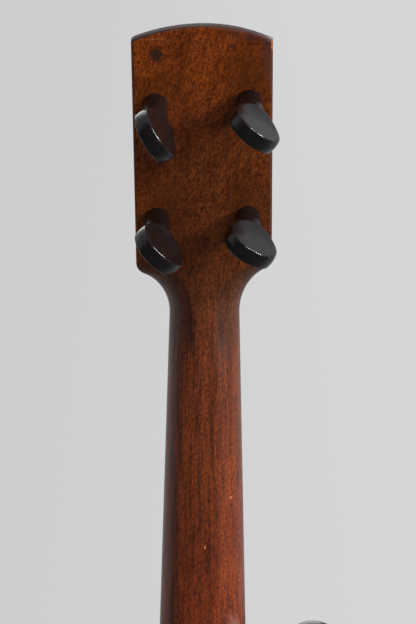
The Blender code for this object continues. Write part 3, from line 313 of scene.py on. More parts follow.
def turned(name: str, profile: Array, matrix: Array, segments: int, trip: bool = False, sharp: float = 38.0):
    """A profile turned round its frame's Z: each (radius, height) sweeps (r cos a, r sin a, h).

    Args:
        name: The mesh's name.
        profile: Radius and height of each point. A first or last radius of zero is a closed pole.
        matrix: The frame in the instrument's space.
        segments: Steps in a full turn.
        trip: Whether the profile closes on itself, as a ring's does.
        sharp: Angle in degrees from which an edge stays crisp.

    Returns:
        The turned mesh.
    """
    profile = np.asarray(profile, float)
    tips = None
    if not trip:
        heights = [profile[0, 1], profile[-1, 1]]
        tips = tuple(moved(np.array([[0.0, 0.0, height] for height in heights]), matrix))
        profile = profile[profile[:, 0] > 0.0]
    angles = np.linspace(0.0, 2.0 * np.pi, segments, endpoint=False)
    radius, height = profile[:, :1], profile[:, 1:]
    points = np.stack([radius * np.cos(angles), radius * np.sin(angles), height + 0.0 * angles], -1)
    return skin_over(name, moved(points, matrix), trip, tips, sharp)


def swept(name: str, path: Array, radius: Array | float, reference: Array, sides: int = 12) -> bpy.types.Mesh:
    """A round section carried along a path: centre + r (cos a . side + sin a . cross).

    Side is the unit cross product of the reference direction and the path's direction.

    Args:
        name: The mesh's name.
        path: Points of the centre line.
        radius: One radius, or one for each point.
        reference: A direction that the path never takes.
        sides: Corners of the section.

    Returns:
        The tube's mesh, closed at its ends.
    """
    steps = unit(np.diff(path, axis=0))
    along = unit(np.concatenate([steps[:1], steps[:-1] + steps[1:], steps[-1:]]))
    side = unit(np.cross(np.asarray(reference, float), along))
    cross = np.cross(along, side)
    angles = np.linspace(0.0, 2.0 * np.pi, sides, endpoint=False)[None, :, None]
    radii = np.broadcast_to(np.asarray(radius, float), (len(path),))[:, None, None]
    section = np.cos(angles) * side[:, None] + np.sin(angles) * cross[:, None]
    return skin_over(name, path[:, None] + radii * section, sharp=60.0)


def rounded_outline(corners: Array, rounds: Array, steps: int = 6) -> Array:
    """An outline whose corners are quadratic curves: (1-t)^2 a + 2 t (1-t) corner + t^2 b.

    Args:
        corners: The outline's corners, as rows of 2.
        rounds: How far from each corner its curve starts.
        steps: Points on each curve.

    Returns:
        The outline's points.
    """
    rounds = np.broadcast_to(np.asarray(rounds, float), (len(corners),))[:, None]
    start = corners + rounds * unit(np.roll(corners, 1, 0) - corners)
    end = corners + rounds * unit(np.roll(corners, -1, 0) - corners)
    t = np.linspace(0.0, 1.0, steps)[:, None, None]
    curve = (1.0 - t) ** 2 * start + 2.0 * t * (1.0 - t) * corners + t**2 * end
    return curve.transpose(1, 0, 2).reshape(-1, 2)


def slab(name: str, outline: Array, levels: Array, matrix: Array, inset: Array | float = 0.0) -> bpy.types.Mesh:
    """An outline stacked through levels: ring i is the outline drawn in by inset[i] and raised to level[i].

    Each point moves in towards the outline's middle by that part of its own distance.

    Args:
        name: The mesh's name.
        outline: Points in the frame's X and Y.
        levels: Heights along the frame's Z.
        matrix: The frame.
        inset: Part of the distance to the middle that each ring loses.

    Returns:
        The slab's mesh.
    """
    middle = outline.mean(axis=0)
    levels = np.asarray(levels, float)
    share = 1.0 - np.broadcast_to(np.asarray(inset, float), levels.shape)
    flat = middle + (outline - middle) * share[:, None, None]
    height = np.broadcast_to(levels[:, None, None], (*flat.shape[:2], 1))
    return skin_over(name, moved(np.concatenate([flat, height], -1), matrix), sharp=30.0)


def changed(mesh: bpy.types.Mesh, tools: list, cut: Cut, sharp: float = 38.0) -> bpy.types.Mesh:
    """The mesh after exact Booleans with each tool.

    Args:
        mesh: The mesh to change.
        tools: Meshes to cut away or join on.
        cut: Which of the two it is.
        sharp: Angle in degrees from which an edge stays crisp.

    Returns:
        A new mesh. The old ones are removed.
    """
    name = mesh.name
    target = bpy.data.objects.new(name, mesh)
    bpy.context.scene.collection.objects.link(target)
    helpers = []
    for tool in tools:
        helper = bpy.data.objects.new(tool.name, tool)
        bpy.context.scene.collection.objects.link(helper)
        change = target.modifiers.new(tool.name, "BOOLEAN")
        change.operation = cut.value
        change.solver = "EXACT"
        change.object = helper
        helpers.append(helper)
    bpy.context.view_layer.update()
    graph = bpy.context.evaluated_depsgraph_get()
    made = bpy.data.meshes.new_from_object(target.evaluated_get(graph))
    for old in (target, *helpers):
        bpy.data.meshes.remove(old.data, do_unlink=True)
    made.name = name
    return smoothed(made, sharp)


@dataclass
class Graph:
    """Adds and joins the nodes of one material or node group."""

    tree: bpy.types.NodeTree

    def add(self, kind: str, values: dict | None = None, **settings: Any) -> bpy.types.Node:
        """Add a node.

        Args:
            kind: The node's type name.
            values: A value, or a socket to join, for each input by name or index.
            **settings: The node's own properties.

        Returns:
            The node.
        """
        node = self.tree.nodes.new(kind)
        for key, value in settings.items():
            setattr(node, key, value)
        for key, value in (values or {}).items():
            if isinstance(value, bpy.types.NodeSocket):
                self.tree.links.new(value, node.inputs[key])
            else:
                node.inputs[key].default_value = value
        return node

    def math(self, operation: str, *values: Any, clamp: bool = False) -> bpy.types.NodeSocket:
        """One Math node's result, from numbers or sockets."""
        inputs = dict(enumerate(values))
        return self.add("ShaderNodeMath", inputs, operation=operation, use_clamp=clamp).outputs[0]

    def between(self, value: Any, low: float, high: float, start: float = 0.0, end: float = 1.0):
        """A value carried smoothly from low..high to start..end.

        Args:
            value: The socket to read.
            low: Value that gives start.
            high: Value that gives end.
            start: Result at low.
            end: Result at high.

        Returns:
            The result's socket.
        """
        inputs = {"Value": value, "From Min": low, "From Max": high, "To Min": start, "To Max": end}
        return self.add("ShaderNodeMapRange", inputs, interpolation_type="SMOOTHSTEP").outputs[0]

    def mix(self, share: Any, first: Any, second: Any, blend: str = "MIX") -> bpy.types.NodeSocket:
        """Two colours mixed.

        Args:
            share: How much of the second colour.
            first: A colour or socket.
            second: A colour or socket.
            blend: Blender's name of the blend.

        Returns:
            The mixed colour's socket.
        """
        inputs = {0: share, 6: opaque(first), 7: opaque(second)}
        return self.add("ShaderNodeMix", inputs, data_type="RGBA", blend_type=blend).outputs[2]

    def ramp(self, value: Any, stops: list) -> bpy.types.NodeSocket:
        """A colour ramp.

        Args:
            value: Where to read the ramp.
            stops: Pairs of position and colour.

        Returns:
            The colour's socket.
        """
        node = self.add("ShaderNodeValToRGB", {0: value})
        elements = node.color_ramp.elements
        while len(elements) < len(stops):
            elements.new(0.5)
        for element, (position, colour) in zip(elements, stops):
            element.position = position
            element.color = opaque(colour)
        return node.outputs[0]

    def noise(self, place: Any, scale: float, detail: float = 3.0, rough: float = 0.5, twist: float = 0.0):
        """A noise texture's value.

        Args:
            place: The vector socket to read it at.
            scale: Features per metre.
            detail: Octaves.
            rough: Weight of the finer octaves.
            twist: Distortion.

        Returns:
            The value's socket.
        """
        inputs = {"Vector": place, "Scale": scale, "Detail": detail, "Roughness": rough, "Distortion": twist}
        return self.add("ShaderNodeTexNoise", inputs).outputs[0]

    def stretched(self, place: Any, scale: tuple, turn: tuple = (0.0, 0.0, 0.0), shift: tuple = (0.0, 0.0, 0.0)):
        """Coordinates moved, turned and scaled.

        Args:
            place: The vector socket.
            scale: Scale on each axis.
            turn: Turn about each axis, in degrees.
            shift: Shift on each axis, in metres.

        Returns:
            The new vector's socket.
        """
        turn = tuple(math.radians(each) for each in turn)
        inputs = {"Vector": place, "Location": shift, "Rotation": turn, "Scale": scale}
        return self.add("ShaderNodeMapping", inputs).outputs[0]


def opaque(value: Any) -> Any:
    """A colour of three numbers with its alpha, or the socket as it is."""
    return (*value, 1.0) if isinstance(value, tuple) and len(value) == 3 else value


def new_group(name: str, inputs: dict, outputs: dict) -> tuple:
    """A shader node group with its sockets.

    Args:
        name: The group's name.
        inputs: Default value, or None for a vector, of each input by name.
        outputs: Socket type of each output by name.

    Returns:
        The group, its graph, its input node's sockets and its output node.
    """
    tree = bpy.data.node_groups.new(name, "ShaderNodeTree")
    for label, default in inputs.items():
        kind = "NodeSocketVector" if default is None else "NodeSocketFloat"
        socket = tree.interface.new_socket(label, in_out="INPUT", socket_type=kind)
        if default is not None:
            socket.default_value = default
    for label, kind in outputs.items():
        tree.interface.new_socket(label, in_out="OUTPUT", socket_type=kind)
    graph = Graph(tree)
    return tree, graph, graph.add("NodeGroupInput").outputs, graph.add("NodeGroupOutput")


def grain_group() -> bpy.types.NodeTree:
    """Wood grain along the third axis: broad figure, fine streaks and sparse dark pores."""
    masks = {"Figure": "NodeSocketFloat", "Streaks": "NodeSocketFloat", "Pores": "NodeSocketFloat"}
    tree, graph, given, put = new_group("wood_grain", {"Place": None, "Figure size": 60.0, "Streak size": 900.0}, masks)
    drawn = graph.add("ShaderNodeVectorMath", {0: given["Place"], 1: (1.0, 1.0, 0.06)}, operation="MULTIPLY").outputs[0]
    figure = graph.noise(drawn, 60.0, 3.0, 0.55, 1.2)
    figure.node.inputs["Scale"].default_value = 60.0
    graph.tree.links.new(given["Figure size"], figure.node.inputs["Scale"])
    streaks = graph.noise(drawn, 900.0, 5.0, 0.62, 0.3)
    graph.tree.links.new(given["Streak size"], streaks.node.inputs["Scale"])
    finer = graph.math("MULTIPLY", given["Streak size"], 2.3)
    pores = graph.noise(drawn, 2000.0, 2.0, 0.5)
    graph.tree.links.new(finer, pores.node.inputs["Scale"])
    graph.tree.links.new(graph.between(figure, 0.30, 0.70), put.inputs["Figure"])
    graph.tree.links.new(graph.between(streaks, 0.32, 0.68), put.inputs["Streaks"])
    graph.tree.links.new(graph.between(pores, 0.58, 0.70), put.inputs["Pores"])
    return tree


def wear_group() -> bpy.types.NodeTree:
    """Worn edges: where the surface is pointed, broken up by noise."""
    tree, graph, given, put = new_group("edge_wear", {"Place": None, "Amount": 1.0}, {"Wear": "NodeSocketFloat"})
    point = graph.add("ShaderNodeNewGeometry").outputs["Pointiness"]
    edge = graph.between(point, 0.515, 0.575)
    patches = graph.between(graph.noise(given["Place"], 240.0, 4.0, 0.65), 0.40, 0.66)
    worn = graph.math("MULTIPLY", graph.math("MULTIPLY", edge, patches), given["Amount"], clamp=True)
    graph.tree.links.new(worn, put.inputs["Wear"])
    return tree


def patina_group() -> bpy.types.NodeTree:
    """Handling marks: soft patches, and fine scuffs that change how rough a finish is."""
    tree, graph, given, put = new_group(
        "patina", {"Place": None, "Patch size": 40.0}, {"Patches": "NodeSocketFloat", "Scuffs": "NodeSocketFloat"}
    )
    patches = graph.noise(given["Place"], 40.0, 3.0, 0.6, 0.4)
    graph.tree.links.new(given["Patch size"], patches.node.inputs["Scale"])
    scuffs = graph.noise(given["Place"], 700.0, 5.0, 0.7)
    graph.tree.links.new(graph.between(patches, 0.3, 0.7), put.inputs["Patches"])
    graph.tree.links.new(graph.between(scuffs, 0.45, 0.75), put.inputs["Scuffs"])
    return tree


class Effects:
    """The shared node groups, each made once."""

    made: ClassVar[dict] = {}
    makers: ClassVar[dict] = {"grain": grain_group, "wear": wear_group, "patina": patina_group}

    @classmethod
    def place(cls, graph: Graph, name: str, values: dict) -> bpy.types.NodeOutputs:
        """Place a shared group in a material.

        Args:
            graph: The material's graph.
            name: Which effect.
            values: Its inputs.

        Returns:
            The group node's outputs.
        """
        if name not in cls.made:
            cls.made[name] = cls.makers[name]()
        node = graph.add("ShaderNodeGroup", node_tree=cls.made[name])
        for key, value in values.items():
            if isinstance(value, bpy.types.NodeSocket):
                graph.tree.links.new(value, node.inputs[key])
            else:
                node.inputs[key].default_value = value
        return node.outputs


@dataclass(frozen=True)
class Finish:
    """A finish: its slot, gloss and bump, with the colour left to each kind."""

    slot: Slot
    roughness: float = 0.45
    specular: float = 0.35
    coat: float = 0.0
    coat_roughness: float = 0.25
    metallic: float = 0.0
    bump: float = 0.00008
    title: str = ""

    def material(self) -> bpy.types.Material:
        """The finish's material, made once.

        Returns:
            The material.
        """
        name = self.title or self.slot.value
        if name in bpy.data.materials and bpy.data.materials[name].get("dressed"):
            return bpy.data.materials[name]
        made = bpy.data.materials.new(name)
        made.name = name
        made["dressed"] = True
        made.use_nodes = True
        graph = Graph(made.node_tree)
        shader = made.node_tree.nodes["Principled BSDF"]
        shader.inputs["Metallic"].default_value = self.metallic
        shader.inputs["Specular IOR Level"].default_value = self.specular
        shader.inputs["Coat Weight"].default_value = self.coat
        shader.inputs["Coat Roughness"].default_value = self.coat_roughness
        coords = graph.add("ShaderNodeTexCoord").outputs
        coat = self.coat_share(graph, coords)
        if coat is not None:
            made.node_tree.links.new(coat, shader.inputs["Coat Weight"])
        colour, rough, height = self.paint(graph, coords)
        bump = graph.add("ShaderNodeBump", {"Height": height, "Distance": self.bump, "Strength": 0.6})
        made.node_tree.links.new(colour, shader.inputs["Base Color"])
        made.node_tree.links.new(rough, shader.inputs["Roughness"])
        made.node_tree.links.new(bump.outputs[0], shader.inputs["Normal"])
        return made

    def coat_share(self, graph: Graph, coords: Any) -> Any:
        """The socket that shares out the coat, or None where it is even."""
        return None

    def paint(self, graph: Graph, coords: Any) -> tuple:
        """Colour, roughness and height sockets.

        Args:
            graph: The material's graph.
            coords: The Texture Coordinate node's outputs.

        Returns:
            Three sockets.
        """
        raise NotImplementedError


@dataclass(frozen=True)
class WoodFinish(Finish):
    """Varnished or bare wood: dark and light grain, pores, and worn edges."""

    dark: Colour = (0.1, 0.04, 0.02)
    light: Colour = (0.2, 0.09, 0.04)
    worn: Colour = (0.3, 0.15, 0.07)
    pores: float = 0.5
    wear: float = 0.5
    figure_size: float = 60.0
    streak_size: float = 900.0
    turn: tuple = (0.0, 0.0, 0.0)
    along_run: bool = False

    def paint(self, graph: Graph, coords: Any) -> tuple:
        """Colour, roughness and height sockets of the wood.

        Args:
            graph: The material's graph.
            coords: The Texture Coordinate node's outputs.

        Returns:
            Three sockets.
        """
        source = coords["UV"] if self.along_run else coords["Object"]
        place = graph.stretched(source, (1.0, 1.0, 1.0), self.turn)
        sizes = {"Place": place, "Figure size": self.figure_size, "Streak size": self.streak_size}
        grain = Effects.place(graph, "grain", sizes)
        patina = Effects.place(graph, "patina", {"Place": coords["Object"]})
        wear = Effects.place(graph, "wear", {"Place": coords["Object"], "Amount": self.wear})["Wear"]
        share = graph.math("MULTIPLY_ADD", grain["Streaks"], 0.55, graph.math("MULTIPLY", grain["Figure"], 0.45))
        colour = graph.mix(share, self.dark, self.light)
        colour = graph.mix(graph.math("MULTIPLY", grain["Pores"], self.pores), colour, tuple(0.35 * c for c in self.dark))
        colour = graph.mix(graph.math("MULTIPLY", patina["Patches"], 0.35), colour, (0.55, 0.55, 0.55), "MULTIPLY")
        colour = graph.mix(wear, colour, self.worn)
        rough = graph.math("MULTIPLY_ADD", patina["Scuffs"], 0.14, self.roughness - 0.05)
        rough = graph.math("MULTIPLY_ADD", wear, 0.12, rough, clamp=True)
        height = graph.math("SUBTRACT", graph.math("MULTIPLY", grain["Streaks"], 0.5), grain["Pores"])
        return colour, rough, height


@dataclass(frozen=True)
class Mark:
    """An oval mark on the back of the neck: its place, half-sizes, colour and strength."""

    x: float
    z: float
    half_x: float
    half_z: float
    colour: Colour
    strength: float = 1.0


@dataclass(frozen=True)
class NeckFinish(Finish):
    """The neck's old varnish: orange-brown on the peghead, redder down the neck, with its marks and painted shade
    beside the tongue.
    """

    tones: tuple = (
        (-0.50, (0.104, 0.0158, 0.0018)),
        (-0.16, (0.106, 0.0164, 0.0018)),
        (-0.03, (0.100, 0.0205, 0.0028)),
        (0.0, (0.072, 0.0176, 0.0032)),
        (0.03, (0.088, 0.0206, 0.0038)),
        (0.075, (0.086, 0.0200, 0.0034)),
        (0.115, (0.118, 0.0245, 0.0020)),
        (0.14, (0.104, 0.0205, 0.0024)),
    )
    marks: tuple = (
        Mark(-0.0205, 0.1110, 0.0120, 0.0170, (0.050, 0.012, 0.003), 0.45),
        Mark(-0.0210, 0.0510, 0.0110, 0.0140, (0.040, 0.011, 0.003), 0.45),
        Mark(0.0205, 0.0500, 0.0130, 0.0140, (0.040, 0.011, 0.003), 0.40),
        Mark(0.0220, 0.1070, 0.0110, 0.0120, (0.050, 0.013, 0.003), 0.35),
        Mark(0.0225, 0.1242, 0.0034, 0.0042, (0.012, 0.008, 0.005), 0.85),
        Mark(-0.0135, 0.1287, 0.0016, 0.0020, (0.020, 0.010, 0.008), 0.6),
        # A bright spot on the bass top corner: worn bare wood, brightened further as a painted highlight.
        Mark(-0.0326, 0.1300, 0.0015, 0.0036, (0.40, 0.12, 0.03), 0.95),
        Mark(-0.0004, -0.1270, 0.0006, 0.0010, (0.40, 0.13, 0.04), 0.8),
        Mark(-0.0131, -0.1024, 0.0006, 0.0009, (0.36, 0.12, 0.04), 0.7),
        # A dark spot on the bass edge where the fifth peg's ear begins to swell: painted shade.
        Mark(-0.0200, -0.1660, 0.0010, 0.0022, (0.014, 0.008, 0.006), 0.8),
    )
    streak_turn: float = 17.0
    edge_x: float = -0.0306
    edge_spread: float = 0.0042
    edge_strength: float = 0.70
    crown_z: float = -0.012 + 0.1566 * math.cos(math.radians(16.0))
    crown_bow: float = 6.5
    tongue: tuple = (0.0066, 0.0261, 0.0295, 0.0060)
    end_grain: Colour = (0.030, 0.015, 0.012)

    def paint(self, graph: Graph, coords: Any) -> tuple:
        """Colour, roughness and height sockets of the neck.

        Args:
            graph: The material's graph.
            coords: The Texture Coordinate node's outputs.

        Returns:
            Three sockets.
        """
        place = coords["Object"]
        axes = graph.add("ShaderNodeSeparateXYZ", {0: place}).outputs
        low, high = self.tones[0][0], self.tones[-1][0]
        height_share = graph.add("ShaderNodeMapRange", {"Value": axes["Z"], "From Min": low, "From Max": high}).outputs[0]
        stops = [((z - low) / (high - low), colour) for z, colour in self.tones]
        tone = graph.ramp(height_share, stops)
        straight = Effects.place(graph, "grain", {"Place": place, "Figure size": 70.0, "Streak size": 650.0})
        leaning = graph.stretched(place, (1.0, 1.0, 1.0), (0.0, self.streak_turn, 0.0))
        diagonal = Effects.place(graph, "grain", {"Place": leaning, "Figure size": 55.0, "Streak size": 800.0})
        on_head = graph.between(axes["Z"], 0.0, 0.05)
        streaks = self.chosen(graph, on_head, straight["Streaks"], diagonal["Streaks"])
        figure = self.chosen(graph, on_head, straight["Figure"], diagonal["Figure"])
        pores = self.chosen(graph, on_head, straight["Pores"], diagonal["Pores"])
        patina = Effects.place(graph, "patina", {"Place": place, "Patch size": 34.0})
        wear = Effects.place(graph, "wear", {"Place": place, "Amount": 0.7})["Wear"]
        light = graph.math("MULTIPLY_ADD", streaks, 0.85, graph.math("MULTIPLY_ADD", figure, 0.60, 0.50))
        lit = graph.add("ShaderNodeCombineColor", {0: light, 1: light, 2: light}).outputs[0]
        colour = graph.mix(1.0, tone, lit, "MULTIPLY")
        colour = graph.mix(graph.math("MULTIPLY", pores, 0.6), colour, (0.016, 0.008, 0.006))
        dotted = graph.stretched(leaning, (1.0, 1.0, 0.45))
        flecks = graph.between(graph.noise(dotted, 1350.0, 2.0, 0.6), 0.45, 0.60)
        colour = graph.mix(graph.math("MULTIPLY", flecks, 0.78), colour, (0.34, 0.28, 0.30), "MULTIPLY")
        colour = graph.mix(graph.math("MULTIPLY", patina["Patches"], 0.40), colour, (0.50, 0.42, 0.42), "MULTIPLY")
        colour = self.darkened_edge(graph, colour, axes, patina["Patches"])
        # Painted shade in the hollows and along the crease beside the tongue.
        colour = self.tongue_crease_shade(graph, colour, axes, patina["Patches"])
        for mark in self.marks:
            colour = self.marked(graph, colour, place, mark)
        colour = graph.mix(graph.math("MULTIPLY", wear, 0.7), colour, (0.22, 0.075, 0.03))
        below = self.below_crown(graph, axes)
        by_bass = graph.between(axes["X"], -0.004, -0.020)
        stained = graph.math("MULTIPLY", graph.between(below, 0.0065, 0.0020), by_bass)
        colour = graph.mix(graph.math("MULTIPLY", stained, 0.65), colour, (0.030, 0.011, 0.010))
        end = graph.between(below, 0.0007, 0.0002)
        colour = graph.mix(end, colour, self.end_grain)
        rough = graph.math("MULTIPLY_ADD", patina["Scuffs"], 0.16, self.roughness - 0.06)
        rough = graph.math("MULTIPLY_ADD", pores, 0.10, rough)
        rough = graph.math("MULTIPLY_ADD", end, 0.30, rough, clamp=True)
        height = graph.math("SUBTRACT", graph.math("MULTIPLY", streaks, 0.6), pores)
        return colour, rough, height

    def below_crown(self, graph: Graph, axes: Any) -> bpy.types.NodeSocket:
        """How far a point lies below the crown's arc, which drops as bow times x squared."""
        drop = graph.math("MULTIPLY", graph.math("MULTIPLY", axes["X"], axes["X"]), self.crown_bow)
        return graph.math("SUBTRACT", graph.math("SUBTRACT", self.crown_z, drop), axes["Z"])

    def coat_share(self, graph: Graph, coords: Any) -> bpy.types.NodeSocket:
        """The coat's weight: full along the neck, rubbed off the peghead."""
        height = graph.add("ShaderNodeSeparateXYZ", {0: coords["Object"]}).outputs["Z"]
        return graph.between(height, 0.025, -0.015, 0.0, self.coat)

    def chosen(self, graph: Graph, share: Any, first: Any, second: Any) -> bpy.types.NodeSocket:
        """One value turning into another as share goes from zero to one."""
        inputs = {0: share, 2: first, 3: second}
        return graph.add("ShaderNodeMix", inputs, data_type="FLOAT").outputs[0]

    def darkened_edge(self, graph: Graph, colour: Any, axes: Any, patches: Any) -> bpy.types.NodeSocket:
        """The darker, purplish varnish left along the peghead's bass edge.

        Args:
            graph: The material's graph.
            colour: The colour so far.
            axes: Separated coordinates.
            patches: A mask that breaks the strip's border.

        Returns:
            The new colour's socket.
        """
        border = graph.math("MULTIPLY_ADD", patches, 0.0016, axes["X"])
        spread = graph.between(axes["Z"], 0.100, 0.126, 0.0, self.edge_spread)
        border = graph.math("SUBTRACT", border, spread)
        strip = graph.between(border, self.edge_x + 0.0012, self.edge_x - 0.0010)
        on_head = graph.between(axes["Z"], 0.010, 0.028)
        share = graph.math("MULTIPLY", graph.math("MULTIPLY", strip, on_head), self.edge_strength)
        return graph.mix(share, colour, (0.052, 0.020, 0.016))

    def tongue_crease_shade(self, graph: Graph, colour: Any, axes: Any, patches: Any) -> bpy.types.NodeSocket:
        """Painted shade beside the tongue: a dark line along its crease, and a darker, greyer tint in the hollows
        beside it.

        The border is at the half-width t + f exp((z - n - h) / d), with the neck shape's own sizes.

        Args:
            graph: The material's graph.
            colour: The colour so far.
            axes: Separated coordinates.
            patches: A mask that breaks the line.

        Returns:
            The new colour's socket.
        """
        half, full, top, fade = self.tongue
        power = graph.math("DIVIDE", graph.math("SUBTRACT", axes["Z"], PLAN.nut_z + top), fade)
        border = graph.math("MULTIPLY_ADD", graph.math("EXPONENT", power), full, half)
        beyond = graph.math("SUBTRACT", graph.math("ABSOLUTE", axes["X"]), border)
        near_nut = graph.math("MULTIPLY", graph.between(axes["Z"], -0.040, -0.014), graph.between(axes["Z"], 0.020, 0.016))
        # Painted shade: the hollows beside the tongue are darkened and greyed.
        hollow = graph.math("MULTIPLY", graph.between(beyond, -0.0002, 0.0006), near_nut)
        colour = graph.mix(graph.math("MULTIPLY", hollow, 0.40), colour, (0.55, 0.62, 0.85), "MULTIPLY")
        # Painted shade: a dark line along the crease at the tongue's border, broken up by the patches.
        line = graph.between(graph.math("ABSOLUTE", beyond), 0.0010, 0.0002, 0.0, 0.65)
        line = graph.math("MULTIPLY", line, graph.math("MULTIPLY_ADD", patches, -0.5, 1.0))
        return graph.mix(graph.math("MULTIPLY", line, near_nut), colour, (0.020, 0.008, 0.005))

    def marked(self, graph: Graph, colour: Any, place: Any, mark: Mark) -> bpy.types.NodeSocket:
        """One oval mark laid on the colour, with a ragged border.

        Args:
            graph: The material's graph.
            colour: The colour so far.
            place: The coordinates' socket.
            mark: The mark.

        Returns:
            The new colour's socket.
        """
        scale = (1.0 / mark.half_x, 0.0, 1.0 / mark.half_z)
        shift = (-mark.x / mark.half_x, 0.0, -mark.z / mark.half_z)
        local = graph.stretched(place, scale, shift=shift)
        distance = graph.add("ShaderNodeVectorMath", {0: local}, operation="LENGTH").outputs["Value"]
        ragged = graph.math("MULTIPLY_ADD", graph.noise(place, 900.0, 3.0), 1.7, graph.math("SUBTRACT", distance, 0.85))
        behind = graph.between(graph.add("ShaderNodeSeparateXYZ", {0: place}).outputs["Y"], 0.0, 0.004)
        share = graph.math("MULTIPLY", graph.between(ragged, 1.1, 0.6), graph.math("MULTIPLY", behind, mark.strength))
        return graph.mix(share, colour, mark.colour)


@dataclass(frozen=True)
class GutFinish(Finish):
    """Twisted gut: amber, with a fine slanting twist round the cord."""

    pale: Colour = (0.66, 0.50, 0.27)
    deep: Colour = (0.48, 0.32, 0.14)
    twist_size: float = 1500.0

    def paint(self, graph: Graph, coords: Any) -> tuple:
        """Colour, roughness and height sockets of the gut.

        Args:
            graph: The material's graph.
            coords: The Texture Coordinate node's outputs.

        Returns:
            Three sockets.
        """
        slanted = graph.stretched(coords["UV"], (1.0, 1.0, 1.0), (0.0, 0.0, 38.0))
        inputs = {"Vector": slanted, "Scale": self.twist_size, "Distortion": 0.4}
        twist = graph.add("ShaderNodeTexWave", inputs, wave_type="BANDS", bands_direction="X").outputs[1]
        patina = Effects.place(graph, "patina", {"Place": coords["Object"], "Patch size": 55.0})
        share = graph.math("MULTIPLY_ADD", twist, 0.45, graph.math("MULTIPLY", patina["Patches"], 0.55))
        colour = graph.mix(share, self.deep, self.pale)
        rough = graph.math("MULTIPLY_ADD", patina["Scuffs"], 0.15, self.roughness)
        return colour, rough, twist


@dataclass(frozen=True)
class SkinFinish(Finish):
    """Calfskin: cloudy cream, with faint vein lines and a darker edge by the hoop."""

    pale: Colour = (0.76, 0.68, 0.53)
    cloud: Colour = (0.63, 0.52, 0.36)
    edge: Colour = (0.42, 0.31, 0.19)
    centre: tuple = (0.0, 0.0, PLAN.pot_z)
    radius: float = PLAN.rim_radius

    def paint(self, graph: Graph, coords: Any) -> tuple:
        """Colour, roughness and height sockets of the skin.

        Args:
            graph: The material's graph.
            coords: The Texture Coordinate node's outputs.

        Returns:
            Three sockets.
        """
        place = coords["Object"]
        shift = tuple(-each for each in self.centre)
        local = graph.stretched(place, (1.0, 0.0, 1.0), shift=shift)
        away = graph.add("ShaderNodeVectorMath", {0: local}, operation="LENGTH").outputs["Value"]
        clouds = graph.between(graph.noise(place, 17.0, 5.0, 0.6, 0.8), 0.32, 0.72)
        veins = graph.noise(place, 26.0, 4.0, 0.5, 2.0)
        line = graph.between(graph.math("ABSOLUTE", graph.math("SUBTRACT", veins, 0.5)), 0.0, 0.012, 1.0, 0.0)
        fine = graph.noise(place, 420.0, 4.0, 0.6)
        colour = graph.mix(clouds, self.pale, self.cloud)
        colour = graph.mix(graph.math("MULTIPLY", line, 0.25), colour, self.edge)
        rim = graph.between(away, self.radius * 0.80, self.radius)
        colour = graph.mix(graph.math("MULTIPLY", rim, 0.65), colour, self.edge)
        speck = graph.between(graph.noise(place, 300.0, 2.0), 0.70, 0.78)
        colour = graph.mix(graph.math("MULTIPLY", speck, 0.35), colour, self.edge)
        rough = graph.math("MULTIPLY_ADD", fine, 0.2, self.roughness - 0.1)
        return colour, rough, graph.math("MULTIPLY_ADD", clouds, 0.5, fine)


@dataclass(frozen=True)
class BrassFinish(Finish):
    """Old brass: warm metal, brown tarnish in patches and brighter worn edges."""

    bright: Colour = (0.62, 0.43, 0.17)
    tarnish: Colour = (0.20, 0.115, 0.045)

    def paint(self, graph: Graph, coords: Any) -> tuple:
        """Colour, roughness and height sockets of the brass.

        Args:
            graph: The material's graph.
            coords: The Texture Coordinate node's outputs.

        Returns:
            Three sockets.
        """
        place = coords["Object"]
        patina = Effects.place(graph, "patina", {"Place": place, "Patch size": 90.0})
        wear = Effects.place(graph, "wear", {"Place": place, "Amount": 1.0})["Wear"]
        spots = graph.between(graph.noise(place, 500.0, 4.0, 0.6), 0.52, 0.68)
        dull = graph.math("MULTIPLY_ADD", spots, 0.30, graph.math("MULTIPLY", patina["Patches"], 0.55), clamp=True)
        colour = graph.mix(dull, self.bright, self.tarnish)
        colour = graph.mix(graph.math("MULTIPLY", wear, 0.6), colour, (0.78, 0.60, 0.30))
        rough = graph.math("MULTIPLY_ADD", dull, 0.28, graph.math("MULTIPLY_ADD", patina["Scuffs"], 0.12, self.roughness - 0.1))
        return colour, rough, graph.math("MULTIPLY_ADD", patina["Scuffs"], -0.5, spots)


@dataclass(frozen=True)
class BoneFinish(Finish):
    """Bone: cream, with short dark canals and a polished face."""

    pale: Colour = (0.76, 0.69, 0.53)
    deep: Colour = (0.58, 0.46, 0.29)

    def paint(self, graph: Graph, coords: Any) -> tuple:
        """Colour, roughness and height sockets of the bone.

        Args:
            graph: The material's graph.
            coords: The Texture Coordinate node's outputs.

        Returns:
            Three sockets.
        """
        turned_place = graph.stretched(coords["Object"], (1.0, 1.0, 1.0), (0.0, 90.0, 0.0))
        sizes = {"Place": turned_place, "Figure size": 120.0, "Streak size": 1500.0}
        grain = Effects.place(graph, "grain", sizes)
        wear = Effects.place(graph, "wear", {"Place": coords["Object"], "Amount": 0.6})["Wear"]
        share = graph.math("MULTIPLY_ADD", grain["Figure"], 0.6, graph.math("MULTIPLY", grain["Streaks"], 0.25))
        colour = graph.mix(share, self.pale, self.deep)
        colour = graph.mix(graph.math("MULTIPLY", grain["Pores"], 0.45), colour, (0.22, 0.14, 0.08))
        colour = graph.mix(graph.math("MULTIPLY", wear, 0.5), colour, (0.80, 0.74, 0.60))
        rough = graph.math("MULTIPLY_ADD", grain["Streaks"], 0.15, self.roughness - 0.05)
        return colour, rough, graph.math("MULTIPLY", grain["Pores"], -1.0)


